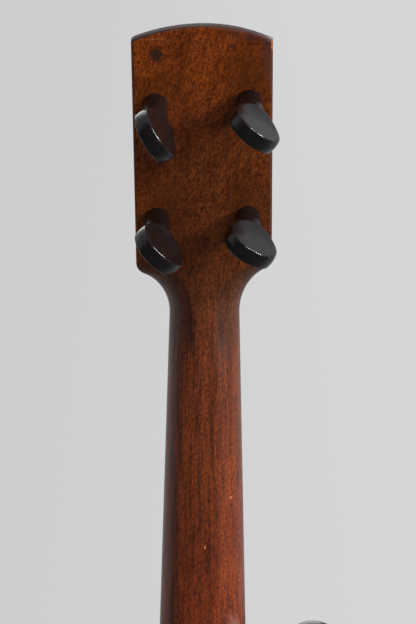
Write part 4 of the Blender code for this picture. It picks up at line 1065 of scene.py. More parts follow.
NECK = NeckFinish(Slot.NECK, roughness=0.40, specular=0.12, coat=0.80, coat_roughness=0.36, bump=0.00012)
VENEER = WoodFinish(
    Slot.VENEER, 0.40, 0.30, 0.08, dark=(0.018, 0.008, 0.006), light=(0.052, 0.020, 0.012),
    worn=(0.110, 0.045, 0.022), pores=0.5, wear=0.8, figure_size=80.0,
)
EBONISED = WoodFinish(
    Slot.EBONISED, 0.22, 0.50, 0.0, dark=(0.0032, 0.0024, 0.0025), light=(0.0090, 0.0070, 0.0074),
    worn=(0.045, 0.030, 0.026), pores=0.35, wear=0.6, figure_size=110.0, streak_size=1300.0,
    turn=(90.0, 0.0, 0.0), bump=0.00004,
)
BONE = BoneFinish(Slot.BONE, roughness=0.38, specular=0.5, bump=0.00003)
GUT = GutFinish(Slot.GUT, roughness=0.38, specular=0.5, bump=0.00004)
RIM = WoodFinish(
    Slot.RIM, 0.42, 0.35, 0.10, dark=(0.150, 0.060, 0.024), light=(0.360, 0.175, 0.075),
    worn=(0.45, 0.26, 0.13), pores=0.35, wear=0.6, figure_size=70.0, streak_size=800.0,
    turn=(0.0, 90.0, 0.0), along_run=True, title="rim_bent_wood",
)
DOWEL = WoodFinish(
    Slot.RIM, 0.50, 0.35, 0.0, dark=(0.190, 0.085, 0.036), light=(0.400, 0.210, 0.095),
    worn=(0.50, 0.31, 0.17), pores=0.35, wear=0.6, title="dowel_straight_wood",
)
CALFSKIN = SkinFinish(Slot.CALFSKIN, roughness=0.62, specular=0.35, bump=0.00010)
BRASS = BrassFinish(Slot.BRASS, roughness=0.36, specular=0.5, metallic=1.0, bump=0.00003)
MAPLE = WoodFinish(
    Slot.MAPLE, 0.52, 0.35, 0.0, dark=(0.300, 0.165, 0.068), light=(0.520, 0.320, 0.145),
    worn=(0.60, 0.42, 0.22), pores=0.25, wear=0.5, turn=(0.0, 90.0, 0.0), streak_size=1100.0,
)


def install(mesh: bpy.types.Mesh, finish: Finish, stands_for: tuple = (), body: str = "instrument") -> Any:
    """Put a finished piece into the scene, on its body and for its CAD nodes.

    Args:
        mesh: The piece's mesh, in the instrument's frame. Its name is the piece's.
        finish: Its finish.
        stands_for: CAD nodes that it replaces.
        body: The CAD body that it rides on.

    Returns:
        The object.
    """
    made = bpy.data.objects.new(mesh.name, mesh)
    bpy.context.scene.collection.objects.link(made)
    mesh.materials.clear()
    mesh.materials.append(finish.material())
    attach(made, body)
    if stands_for:
        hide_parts(*stands_for)
    LOG.info("piece %s: %d faces, on %s, for %s", mesh.name, len(mesh.polygons), body, stands_for or "no node")
    return made


@dataclass
class NeckShape:
    """The outline and depths of the neck and peghead, as functions of height."""

    plan: Plan = PLAN
    half_at_nut: dict = field(default_factory=lambda: {Side.TREBLE: 0.0169, Side.BASS: 0.0172})
    half_at_fifth: dict = field(default_factory=lambda: {Side.TREBLE: 0.0225, Side.BASS: 0.0207})
    half_at_heel: float = 0.0270
    ledge: float = 0.0042
    ledge_length: float = 0.0170
    depth_at_nut: float = 0.0195
    depth_at_heel: float = 0.0225
    side_wall: float = 0.0040
    ridge_flat: float = 0.0030
    ear_wall: float = 0.0140
    ear_half: float = 0.0240
    heel_length: float = 0.082
    heel_depth: float = 0.055
    heel_power: float = 2.4
    rake: float = math.radians(16.0)
    length: float = 0.1566
    root_depth: float = 0.013
    tip_depth: float = 0.0082
    edge_round: float = 0.0015
    bottom_half: dict = field(default_factory=lambda: {Side.TREBLE: 0.0328, Side.BASS: 0.0326})
    top_half: dict = field(default_factory=lambda: {Side.TREBLE: 0.0343, Side.BASS: 0.0323})
    corner_round: dict = field(default_factory=lambda: {Side.TREBLE: 0.00140, Side.BASS: 0.00012})
    crown_rise: dict = field(default_factory=lambda: {Side.TREBLE: 0.0071, Side.BASS: 0.0075})
    shoulder_start: dict = field(default_factory=lambda: {Side.TREBLE: 0.0005, Side.BASS: 0.0008})
    hollow: dict = field(default_factory=lambda: {Side.TREBLE: 0.0252, Side.BASS: 0.0300})
    round_off: dict = field(default_factory=lambda: {Side.TREBLE: 0.0078, Side.BASS: 0.0060})
    tongue_top: float = 0.0295
    tongue_half: float = 0.0052
    tongue_fade: float = 0.0054
    ridge_bend: float = 0.0050
    crease: float = 40.0
    scoop_power: float = 2.4
    veneer: float = 0.0015

    @property
    def tip_z(self) -> float:
        """Height of the crown's top."""
        return self.plan.nut_z + self.length * math.cos(self.rake)

    @property
    def veneer_z(self) -> float:
        """Height at which the peghead's veneer starts, above the nut."""
        return self.plan.nut_z + self.plan.nut_thickness + self.plan.gap

    def shoulder_turn(self, side: Side) -> float:
        """Angle through which the shoulder's hollow and its round turn."""
        rise = self.bottom_half[side] - self.half_at_nut[side]
        return math.acos(1.0 - rise / (self.hollow[side] + self.round_off[side]))

    def shoulder_top(self, side: Side) -> float:
        """Height at which the round meets the peghead's side."""
        start = self.plan.nut_z + self.shoulder_start[side]
        return start + (self.hollow[side] + self.round_off[side]) * math.sin(self.shoulder_turn(side))

    def neck_half(self, z: Array, side: Side) -> Array:
        """Half-width below the nut: two straight tapers, and the fifth peg's ledge on the bass side.

        Args:
            z: Heights.
            side: Which side.

        Returns:
            Half-widths.
        """
        below = self.plan.nut_z - z
        fifth = self.plan.nut_z - self.plan.fifth_peg_z
        full = self.plan.nut_z - self.plan.neck_end_z
        nut, middle = self.half_at_nut[side], self.half_at_fifth[side]
        upper = nut + below / fifth * (middle - nut)
        share = (below - fifth) / (full - fifth)
        lower = middle + share * (self.half_at_heel - middle)
        width = np.where(below < fifth, upper, lower)
        if side is Side.BASS:
            width = width + self.ledge * ease(below, fifth - self.ledge_length / 2, fifth + self.ledge_length / 2)
        return width

    def head_half(self, z: Array, side: Side) -> Array:
        """Half-width above the nut: a hollow arc, a round arc, a straight side, then the crown's arc.

        The crown's arc through both corners has the half-chord sqrt(2 R d - d^2) at d below its top, and a soft
        minimum of side and arc rounds the corner.

        Args:
            z: Heights.
            side: Which side.

        Returns:
            Half-widths.
        """
        turn, top = self.shoulder_turn(side), self.shoulder_top(side)
        bottom, upper = self.bottom_half[side], self.top_half[side]
        rise = z - self.plan.nut_z - self.shoulder_start[side]
        bow = self.hollow[side]
        inner = np.clip(rise, 0.0, bow * math.sin(turn))
        hollow = self.half_at_nut[side] + bow - np.sqrt(bow**2 - inner**2)
        bend = self.round_off[side]
        left = np.clip(top - z, 0.0, bend * math.sin(turn))
        rounded = bottom - bend + np.sqrt(bend**2 - left**2)
        shoulder = np.where(rise <= bow * math.sin(turn), hollow, rounded)
        rise = self.crown_rise[side]
        corner = self.tip_z - rise
        straight = bottom + (upper - bottom) * (z - top) / (corner - top)
        radius = (upper**2 + rise**2) / (2.0 * rise)
        drop = np.maximum(self.tip_z - z, 0.0)
        arc = np.sqrt(np.maximum(2.0 * radius * drop - drop**2, 0.0))
        soft = self.corner_round[side]
        apart = np.maximum(soft - np.abs(straight - arc) * 0.5, 0.0)
        head = np.minimum(straight, arc) - apart**2 / (2.0 * soft)
        return np.where(z < top, shoulder, head)

    def half(self, z: Array, side: Side) -> Array:
        """Half-width at any height."""
        z = np.asarray(z, float)
        return np.where(z <= self.plan.nut_z, self.neck_half(z, side), self.head_half(z, side))

    def back_y(self, z: Array) -> Array:
        """The peghead's flat back, carried down past the nut."""
        return self.plan.front_y + self.root_depth + math.tan(self.rake) * (z - self.plan.nut_z)

    def ridge_y(self, z: Array) -> Array:
        """The back on the centre line: a straight taper, the heel's power curve, and the bend to the rake.

        Args:
            z: Heights.

        Returns:
            The level of the back.
        """
        below = self.plan.nut_z - z
        heel_start = self.plan.nut_z - self.plan.neck_end_z - self.heel_length
        share = np.clip(below / heel_start, 0.0, 1.0)
        depth = self.depth_at_nut + share * (self.depth_at_heel - self.depth_at_nut)
        swell = np.maximum(below - heel_start, 0.0) / self.heel_length
        depth = depth + (self.heel_depth - self.depth_at_heel) * swell**self.heel_power
        slope = math.tan(self.rake)
        meeting = self.plan.nut_z + (self.depth_at_nut - self.root_depth) / slope
        bend = slope * self.ridge_bend * np.logaddexp(0.0, (z - meeting) / self.ridge_bend)
        return self.plan.front_y + depth + bend

    def wood_front_y(self, z: Array) -> Array:
        """The wood's front: level below the nut, then raked to the tip."""
        tip = self.back_y(self.tip_z) - self.tip_depth
        share = np.clip((z - self.veneer_z) / (self.tip_z - self.veneer_z), 0.0, 1.0)
        return self.plan.front_y + share * (tip - self.plan.front_y)

    def flat_half(self, z: Array, side: Side) -> Array:
        """Half-width of the flat on the back: the ridge, the tongue that fades out, the whole peghead.

        Args:
            z: Heights.
            side: Which side.

        Returns:
            Half-widths of the flat.
        """
        below = self.plan.nut_z - z
        share = np.exp(-np.maximum(below, 0.0) / (10.0 * self.tongue_fade))
        ridge = self.ridge_flat + (self.tongue_half - self.ridge_flat) * share
        full = self.bottom_half[side] - self.tongue_half
        tongue = self.tongue_half + full * np.exp(np.minimum((-below - self.tongue_top) / self.tongue_fade, 3.0))
        width = self.half(z, side)
        limit = np.maximum(width - self.edge_round, width * 0.5)
        return np.where(below > 0.0, ridge, np.minimum(tongue, limit))

    def wall_y(self, z: Array, side: Side) -> Array:
        """How far back the upright side runs: narrow on the neck, all of it on the peghead.

        Args:
            z: Heights.
            side: Which side.

        Returns:
            The level at which the side ends.
        """
        narrow = self.half_at_nut[side]
        share = np.clip((self.half(z, side) - narrow) / (self.bottom_half[side] - narrow), 0.0, 1.0)
        share = np.where(z > self.shoulder_top(side), 1.0, share**self.scoop_power)
        shallow = self.wood_front_y(z) + self.side_wall
        head = shallow + share * (self.ridge_y(z) - self.edge_round - shallow)
        neck = self.plan.front_y + self.side_wall + 0.0 * z
        if side is Side.BASS:
            away = np.abs(z - self.plan.fifth_peg_z)
            neck = neck + (self.ear_wall - self.side_wall) * (1.0 - ease(away, self.ear_half * 0.35, self.ear_half))
        return np.where(z > self.plan.nut_z, head, neck)

    def crease_angle(self, z: Array, side: Side) -> Array:
        """Angle at which the flank's curve meets the flat: less than a right angle beside the tongue.

        Args:
            z: Heights.
            side: Which side.

        Returns:
            Angles in radians.
        """
        fading = ease(z, self.plan.nut_z - 0.030, self.plan.nut_z + 0.006)
        on_head = 1.0 - ease(z, self.shoulder_top(side) - 0.006, self.shoulder_top(side))
        return 0.5 * np.pi - math.radians(self.crease) * fading * on_head

    def crown_at(self, x: Array, side: Side) -> Array:
        """Height of the crown's arc at a distance from the middle."""
        upper, rise = self.top_half[side], self.crown_rise[side]
        radius = (upper**2 + rise**2) / (2.0 * rise)
        return self.tip_z - radius + np.sqrt(np.maximum(radius**2 - x**2, 0.0))

    def rows(self, low: float, high: float) -> Array:
        """Heights of the rings between two levels, closer where the shape turns.

        Args:
            low: The lowest level.
            high: The highest level.

        Returns:
            Sorted heights.
        """
        tip, corner = self.tip_z, self.tip_z - max(self.crown_rise.values())
        crown = tip - (tip - corner) * np.linspace(1.0, 0.02, 26) ** 2
        parts = [
            np.linspace(low, high, 90),
            np.linspace(self.plan.nut_z, self.plan.nut_z + 0.036, 60),
            np.linspace(corner - 0.003, corner + 0.002, 24),
            np.linspace(self.plan.fifth_peg_z - self.ear_half, self.plan.fifth_peg_z + self.ear_half, 40),
            crown,
        ]
        heights = np.unique(np.round(np.concatenate([*parts, [low, high]]), 6))
        return heights[(heights >= low) & (heights <= high)]


@dataclass
class Neck:
    """Neck, fingerboard, peghead veneer and the two nuts."""

    shape: NeckShape
    plan: Plan = PLAN
    overrun: float = 0.008
    notch_clearance: float = 0.0006
    nut_spacing: float = 0.0084
    fifth_nut_radius: float = 0.00175
    fifth_nut_height: float = 0.0024
    fifth_nut_seat: float = 0.0015
    fifth_nut_from_edge: float = 0.0020
    fifth_nut_below_peg: float = 0.0195
    flank_steps: int = 18

    def build(self) -> None:
        """Build and dress every piece of the neck."""
        install(self.wood(), NECK, ("neck",))
        install(self.board(), VENEER, ("fingerboard",))
        install(self.veneer(), VENEER, ("peghead_veneer",))
        install(self.nut(), BONE, ("nut",))
        install(self.fifth_nut(), BONE, ("fifth_string_nut",))

    def flank(self, z: Array, side: Side) -> Array:
        """One side of every ring: down the upright side, then the quarter ellipse to the flat.

        The ellipse is (flat + (half - flat) cos a, wall + (ridge - wall) sin a), whose angle ends at a right angle, or
        short of it, stretched to meet the flat, where a crease bounds the tongue. At the depth d below the crown's arc
        the back is rounded by r - sqrt(r^2 - (r - d)^2).

        Args:
            z: Heights of the rings.
            side: Which side.

        Returns:
            Points as rows by steps by 3.
        """
        shape = self.shape
        half, flat = shape.half(z, side)[:, None], shape.flat_half(z, side)[:, None]
        wall, ridge = shape.wall_y(z, side)[:, None], shape.ridge_y(z)[:, None]
        front = shape.wood_front_y(z)[:, None]
        down = np.linspace(0.0, 1.0, 5)[None, :-1]
        upright = np.stack(np.broadcast_arrays(half, front + (wall - front) * down), -1)
        last = shape.crease_angle(z, side)[:, None]
        angle = np.linspace(0.0, 1.0, self.flank_steps)[None] * last
        across = (np.cos(angle) - np.cos(last)) / (1.0 - np.cos(last))
        curve = np.stack([flat + (half - flat) * across, wall + (ridge - wall) * np.sin(angle) / np.sin(last)], -1)
        inward = np.linspace(1.0, 0.0, 6)[None, 1:]
        level = np.stack(np.broadcast_arrays(flat * inward, ridge), -1)
        outline = np.concatenate([upright, curve, level], 1)
        below = np.clip(shape.crown_at(outline[..., 0], side) - z[:, None], 0.0, shape.edge_round)
        drop = shape.edge_round - np.sqrt(shape.edge_round**2 - (shape.edge_round - below) ** 2)
        depth = np.clip((outline[..., 1] - wall) / np.maximum(ridge - wall, 1e-6), 0.0, 1.0)
        outline[..., 1] -= np.where(z[:, None] > shape.shoulder_top(side), drop * depth, 0.0)
        height = np.broadcast_to(z[:, None, None], (*outline.shape[:2], 1))
        outline = outline * np.array([side.value, 1.0])
        return np.concatenate([outline, height], -1)

    def wood(self) -> bpy.types.Mesh:
        """The neck's wood, cut to the rim's curve and the hoop's notch.

        Returns:
            The mesh.
        """
        z = self.shape.rows(self.plan.neck_end_z - self.overrun, self.shape.tip_z - 3e-6)
        treble = self.flank(z, Side.TREBLE)
        bass = self.flank(z, Side.BASS)[:, ::-1][:, 1:]
        wood = skin_over("banjo_neck", np.concatenate([treble, bass], 1), sharp=34.0)
        return changed(wood, [self.rim_room(), self.hoop_room()], Cut.AWAY, 34.0)

    def pot_frame(self) -> Array:
        """Frame of the pot, with Z out of its back."""
        return frame_at(np.array([0.0, 0.0, self.plan.pot_z]), np.array([0.0, 0.0, 1.0]), np.array([0.0, 1.0, 0.0]))

    def rim_room(self) -> bpy.types.Mesh:
        """Round space that the rim takes from the heel."""
        radius = self.plan.rim_radius + self.plan.gap
        profile = [(0.0, -0.03), (radius, -0.03), (radius, 0.09), (0.0, 0.09)]
        return turned("rim_room", np.array(profile), self.pot_frame(), 360)

    def hoop_room(self) -> bpy.types.Mesh:
        """Round space that the hoop and the lapped skin take."""
        radius = self.plan.hoop_outer + self.notch_clearance
        low = self.plan.lap_y + self.notch_clearance
        profile = [(0.0, -0.03), (radius, -0.03), (radius, low), (0.0, low)]
        return turned("hoop_room", np.array(profile), self.pot_frame(), 360)

    def plate(self, name: str, z: Array, low: Array, high: Array) -> bpy.types.Mesh:
        """A plate with the neck's outline between two levels, its front edges slightly rounded.

        Args:
            name: The mesh's name.
            z: Heights of its rings.
            low: Its back face's level at each height.
            high: Its front face's level at each height.

        Returns:
            The mesh.
        """
        soft = 0.0004
        treble = self.shape.half(z, Side.TREBLE)
        bass = -self.shape.half(z, Side.BASS)
        round_x = np.minimum(soft, 0.3 * treble)
        across = [treble, treble, treble - 0.3 * round_x, treble - round_x]
        across += [bass + round_x, bass + 0.3 * round_x, bass, bass]
        lift = [low, high + soft, high + 0.3 * soft, high, high, high + 0.3 * soft, high + soft, low]
        rings = np.stack([np.stack(across, 1), np.stack(lift, 1), np.repeat(z[:, None], 8, 1)], -1)
        return skin_over(name, rings, sharp=34.0)

    def board(self) -> bpy.types.Mesh:
        """The smooth fingerboard, cut back round the hoop.

        Returns:
            The mesh.
        """
        z = self.shape.rows(self.plan.neck_end_z - self.overrun, self.plan.nut_z - self.plan.gap)
        low = np.full(len(z), self.plan.front_y - self.plan.gap)
        board = self.plate("smooth_fingerboard", z, low, np.full(len(z), self.plan.board_top_y))
        return changed(board, [self.hoop_room()], Cut.AWAY, 34.0)

    def veneer(self) -> bpy.types.Mesh:
        """The veneer on the peghead's front."""
        z = self.shape.rows(self.shape.veneer_z, self.shape.tip_z - 3e-6)
        low = self.shape.wood_front_y(z) - self.plan.gap
        return self.plate("peghead_front_veneer", z, low, low - self.shape.veneer)

    def nut(self) -> bpy.types.Mesh:
        """The nut: a bar with a rounded top, and a groove under each string.

        Each groove lowers the top by g exp(-(x - s)^2 / w^2) at its string s.

        Returns:
            The mesh.
        """
        plan = self.plan
        half, low = self.shape.half_at_nut, plan.front_y - plan.gap
        x = np.linspace(-half[Side.BASS], half[Side.TREBLE], 200)
        strings = (np.arange(4) - 1.5) * self.nut_spacing
        groove = 0.00045 * np.exp(-(((x[:, None] - strings) / 0.00055) ** 2)).sum(axis=1)
        angle = np.linspace(0.0, np.pi, 14)
        middle, reach = plan.nut_z + plan.nut_thickness / 2.0, plan.nut_thickness / 2.0
        dome = 0.0011
        y_top = low - plan.nut_height + dome + groove[:, None] - dome * np.sin(angle)
        z_top = np.broadcast_to(middle + reach * np.cos(angle), y_top.shape)
        y = np.concatenate([np.full((len(x), 1), low), y_top, np.full((len(x), 1), low)], 1)
        z = np.concatenate([np.full((len(x), 1), middle + reach), z_top, np.full((len(x), 1), middle - reach)], 1)
        rings = np.stack([np.repeat(x[:, None], y.shape[1], 1), y, z], -1)
        return skin_over("bone_nut", rings, sharp=50.0)

    def fifth_nut_frame(self) -> Array:
        """Frame of the fifth string's nut, with Z towards the player."""
        z = self.plan.fifth_peg_z - self.fifth_nut_below_peg
        x = -(float(self.shape.half(np.array(z), Side.BASS)) - self.fifth_nut_from_edge)
        origin = np.array([x, self.plan.board_top_y, z])
        return frame_at(origin, np.array([0.0, 0.0, 1.0]), np.array([0.0, -1.0, 0.0]))

    def fifth_nut(self) -> bpy.types.Mesh:
        """The fifth string's round bone nut, with its rounded top."""
        angle = np.linspace(0.0, 0.5 * np.pi, 6)
        soft = 0.0005
        r, top = self.fifth_nut_radius, self.fifth_nut_height
        rim = np.stack([r - soft + soft * np.cos(angle), top - soft + soft * np.sin(angle)], -1)
        profile = np.concatenate([[(0.0, -self.fifth_nut_seat), (r, -self.fifth_nut_seat)], rim, [(0.0, top)]])
        return turned("bone_fifth_nut", profile, self.fifth_nut_frame(), 32)


@dataclass(frozen=True)
class PegPlace:
    """One peg's place: its frame's facts and how its head is turned."""

    number: int
    up: float
    out: float
    stand_off: float
    turn: float
    lean: float


@dataclass
class Pegs:
    """The five friction pegs."""

    shape: NeckShape
    plan: Plan = PLAN
    places: tuple = (
        PegPlace(1, 0.3474, 0.0225, 0.0299, 44.9, 1.8),
        PegPlace(2, 0.7395, 0.0231, 0.0309, 32.6, 0.9),
        PegPlace(3, 0.7522, -0.0214, 0.0281, 51.9, 3.8),
        PegPlace(4, 0.3544, -0.0210, 0.0275, 59.2, 1.8),
        PegPlace(5, 0.0, 0.0, 0.0302, 0.0, 0.0),
    )
    shaft: float = 0.0058
    fifth_shaft: float = 0.0048
    taper: float = 0.02
    tip_length: float = 0.016
    fifth_seat: float = 0.024
    fifth_depth: float = 0.0070
    head_half_width: float = 0.0129
    head_lower: float = 0.0159
    head_upper: float = 0.0139
    lower_power: float = 1.7
    upper_power: float = 2.4
    head_thickness: float = 0.0078
    web: float = 0.0016
    run_out: float = 0.0022
    edge_soft: float = 0.0016

    def build(self) -> None:
        """Build and dress every peg."""
        for place in self.places:
            name = f"peg_{place.number}"
            install(self.peg(place), EBONISED, (name,), name + "_body")

    def base(self, place: PegPlace) -> float:
        """Shaft radius where the peg leaves the wood."""
        return self.fifth_shaft if place.number == 5 else self.shaft

    def frame(self, place: PegPlace) -> Array:
        """Frame of a peg, with its origin on the wood and Z towards the head.

        Args:
            place: Which peg.

        Returns:
            A 4 by 4 matrix.
        """
        if place.number == 5:
            z = self.plan.fifth_peg_z
            side = float(self.shape.half(np.array(z), Side.BASS))
            origin = np.array([-side, self.plan.front_y + self.fifth_depth, z])
            return frame_at(origin, np.array([0.0, 0.0, 1.0]), np.array([-1.0, 0.0, 0.0]))
        rake = self.shape.rake
        up = np.array([0.0, math.sin(rake), math.cos(rake)])
        square = np.array([0.0, math.cos(rake), -math.sin(rake)])
        lean = math.radians(place.lean)
        axis = square * math.cos(lean) + np.cross(up, square) * math.sin(lean)
        nut_z = self.plan.nut_z
        foot = np.array([place.out, float(self.shape.back_y(nut_z)), nut_z]) + up * place.up * self.shape.length
        return frame_at(foot, up, axis)

    def wood_through(self, place: PegPlace) -> float:
        """Wood and veneer that a peghead peg passes through."""
        height = self.plan.nut_z + place.up * self.shape.length * math.cos(self.shape.rake)
        wood = float(self.shape.back_y(height) - self.shape.wood_front_y(np.array(height)))
        return (wood + self.plan.gap + self.shape.veneer) * math.cos(self.shape.rake)

    def tip(self, place: PegPlace) -> float:
        """Height of the peg's tip in its own frame."""
        return -self.fifth_seat if place.number == 5 else -self.wood_through(place) - self.tip_length

    def radius(self, place: PegPlace, z: float) -> float:
        """Radius of the tapered shaft at a height above the wood."""
        return self.base(place) + self.taper * z / 2.0

    def turned_radius(self, place: PegPlace, z: Array) -> Array:
        """Radius of the turned blank: the tapered shaft, and a smooth flare into the oval head.

        The head's outline is W (1 - |s|^p)^(1 / p) at the share s of its length below or above its widest place. A
        soft maximum of it and the shaft makes the flare.

        Args:
            place: Which peg.
            z: Heights in the peg's frame.

        Returns:
            The radius at each height.
        """
        rise = z - place.stand_off
        share = np.abs(rise) / np.where(rise > 0.0, self.head_upper, self.head_lower)
        power = np.where(rise > 0.0, self.upper_power, self.lower_power)
        oval = self.head_half_width * np.clip(1.0 - share**power, 0.0, 1.0) ** (1.0 / power)
        shaft = self.base(place) + self.taper * z / 2.0
        near = np.maximum(self.web - np.abs(shaft - oval), 0.0)
        blend = np.maximum(shaft, oval) + near**2 / (4.0 * self.web)
        return np.where(rise > 0.0, oval, blend)

    def half_thickness(self, place: PegPlace, z: Array) -> Array:
        """Half the distance between the head's flats, which spread below its middle and run out at the shaft.

        At the depth d below the middle it is T / 2 + (R - T / 2) (d / D)^2, where R is the shaft's radius and D the
        depth at which the flats leave the shaft.

        Args:
            place: Which peg.
            z: Heights in the peg's frame.

        Returns:
            The half-thickness at each height.
        """
        depth = np.maximum(place.stand_off - z, 0.0) / (self.head_lower - self.run_out)
        half = self.head_thickness / 2.0
        return half + (self.radius(place, place.stand_off - self.head_lower) - half) * depth**2

    def peg(self, place: PegPlace) -> bpy.types.Mesh:
        """A turned blank, flattened on both sides of its head.

        Each ring has the radius r(a) = min(R, B / |sin a|) with its corner rounded by a soft minimum, where R is
        the blank's radius and B the half-thickness. Angles crowd round the corner at asin(B / R).

        Args:
            place: Which peg.

        Returns:
            The mesh.
        """
        tip, head_top = self.tip(place), place.stand_off + self.head_upper
        low = place.stand_off - self.head_lower
        soft, r_tip = 0.0006, self.radius(place, tip)
        round_z = tip + soft - soft * np.cos(np.linspace(0.0, 0.5 * np.pi, 5))
        sine = np.sin(np.linspace(-0.5 * np.pi, 0.5 * np.pi, 72))
        dome = place.stand_off + np.where(sine > 0.0, self.head_upper, self.head_lower) * sine
        z = np.concatenate([round_z, np.linspace(tip + 0.002, low - 0.006, 8), np.linspace(low - 0.005, low + 0.006, 40), dome])
        z = np.unique(np.round(z[(z > tip) & (z < head_top - 5e-6)], 6))
        blank = self.turned_radius(place, z)
        blank = np.where(z < tip + soft, r_tip - soft + np.sqrt(np.clip(soft**2 - (tip + soft - z) ** 2, 0.0, None)), blank)[:, None]
        flat = self.half_thickness(place, z)[:, None]
        corner = np.arcsin(np.clip(flat / blank, 0.0, 0.98))
        width = np.minimum(2.2 * self.edge_soft / blank, 0.45 * np.minimum(corner, 0.5 * np.pi - corner))
        steps = np.linspace(0.0, 1.0, 9)[None]
        parts = [steps[:, :-1] * (corner - width), corner - width + steps[:, :-1] * 2.0 * width]
        quarter = np.concatenate([*parts, corner + width + steps * (0.5 * np.pi - corner - width)], 1)
        angle = np.concatenate([quarter, np.pi - quarter[:, -2::-1]], 1)
        angle = np.concatenate([angle, angle[:, 1:-1] + np.pi], 1)
        plane = flat / np.maximum(np.abs(np.sin(angle)), 1e-3)
        near = np.maximum(self.edge_soft - np.abs(plane - blank), 0.0)
        reach = np.minimum(plane, blank) - near**2 / (4.0 * self.edge_soft)
        spread = np.stack([reach * np.cos(angle), reach * np.sin(angle), np.broadcast_to(z[:, None], reach.shape)], -1)
        turn = math.radians(place.turn)
        spin = np.eye(4)
        spin[:2, :2] = [[math.cos(turn), -math.sin(turn)], [math.sin(turn), math.cos(turn)]]
        full = self.frame(place) @ spin
        ends = moved(np.array([[0.0, 0.0, tip], [0.0, 0.0, head_top]]), full)
        return skin_over(f"ebonised_peg_{place.number}", moved(spread, full), tips=tuple(ends), sharp=50.0)


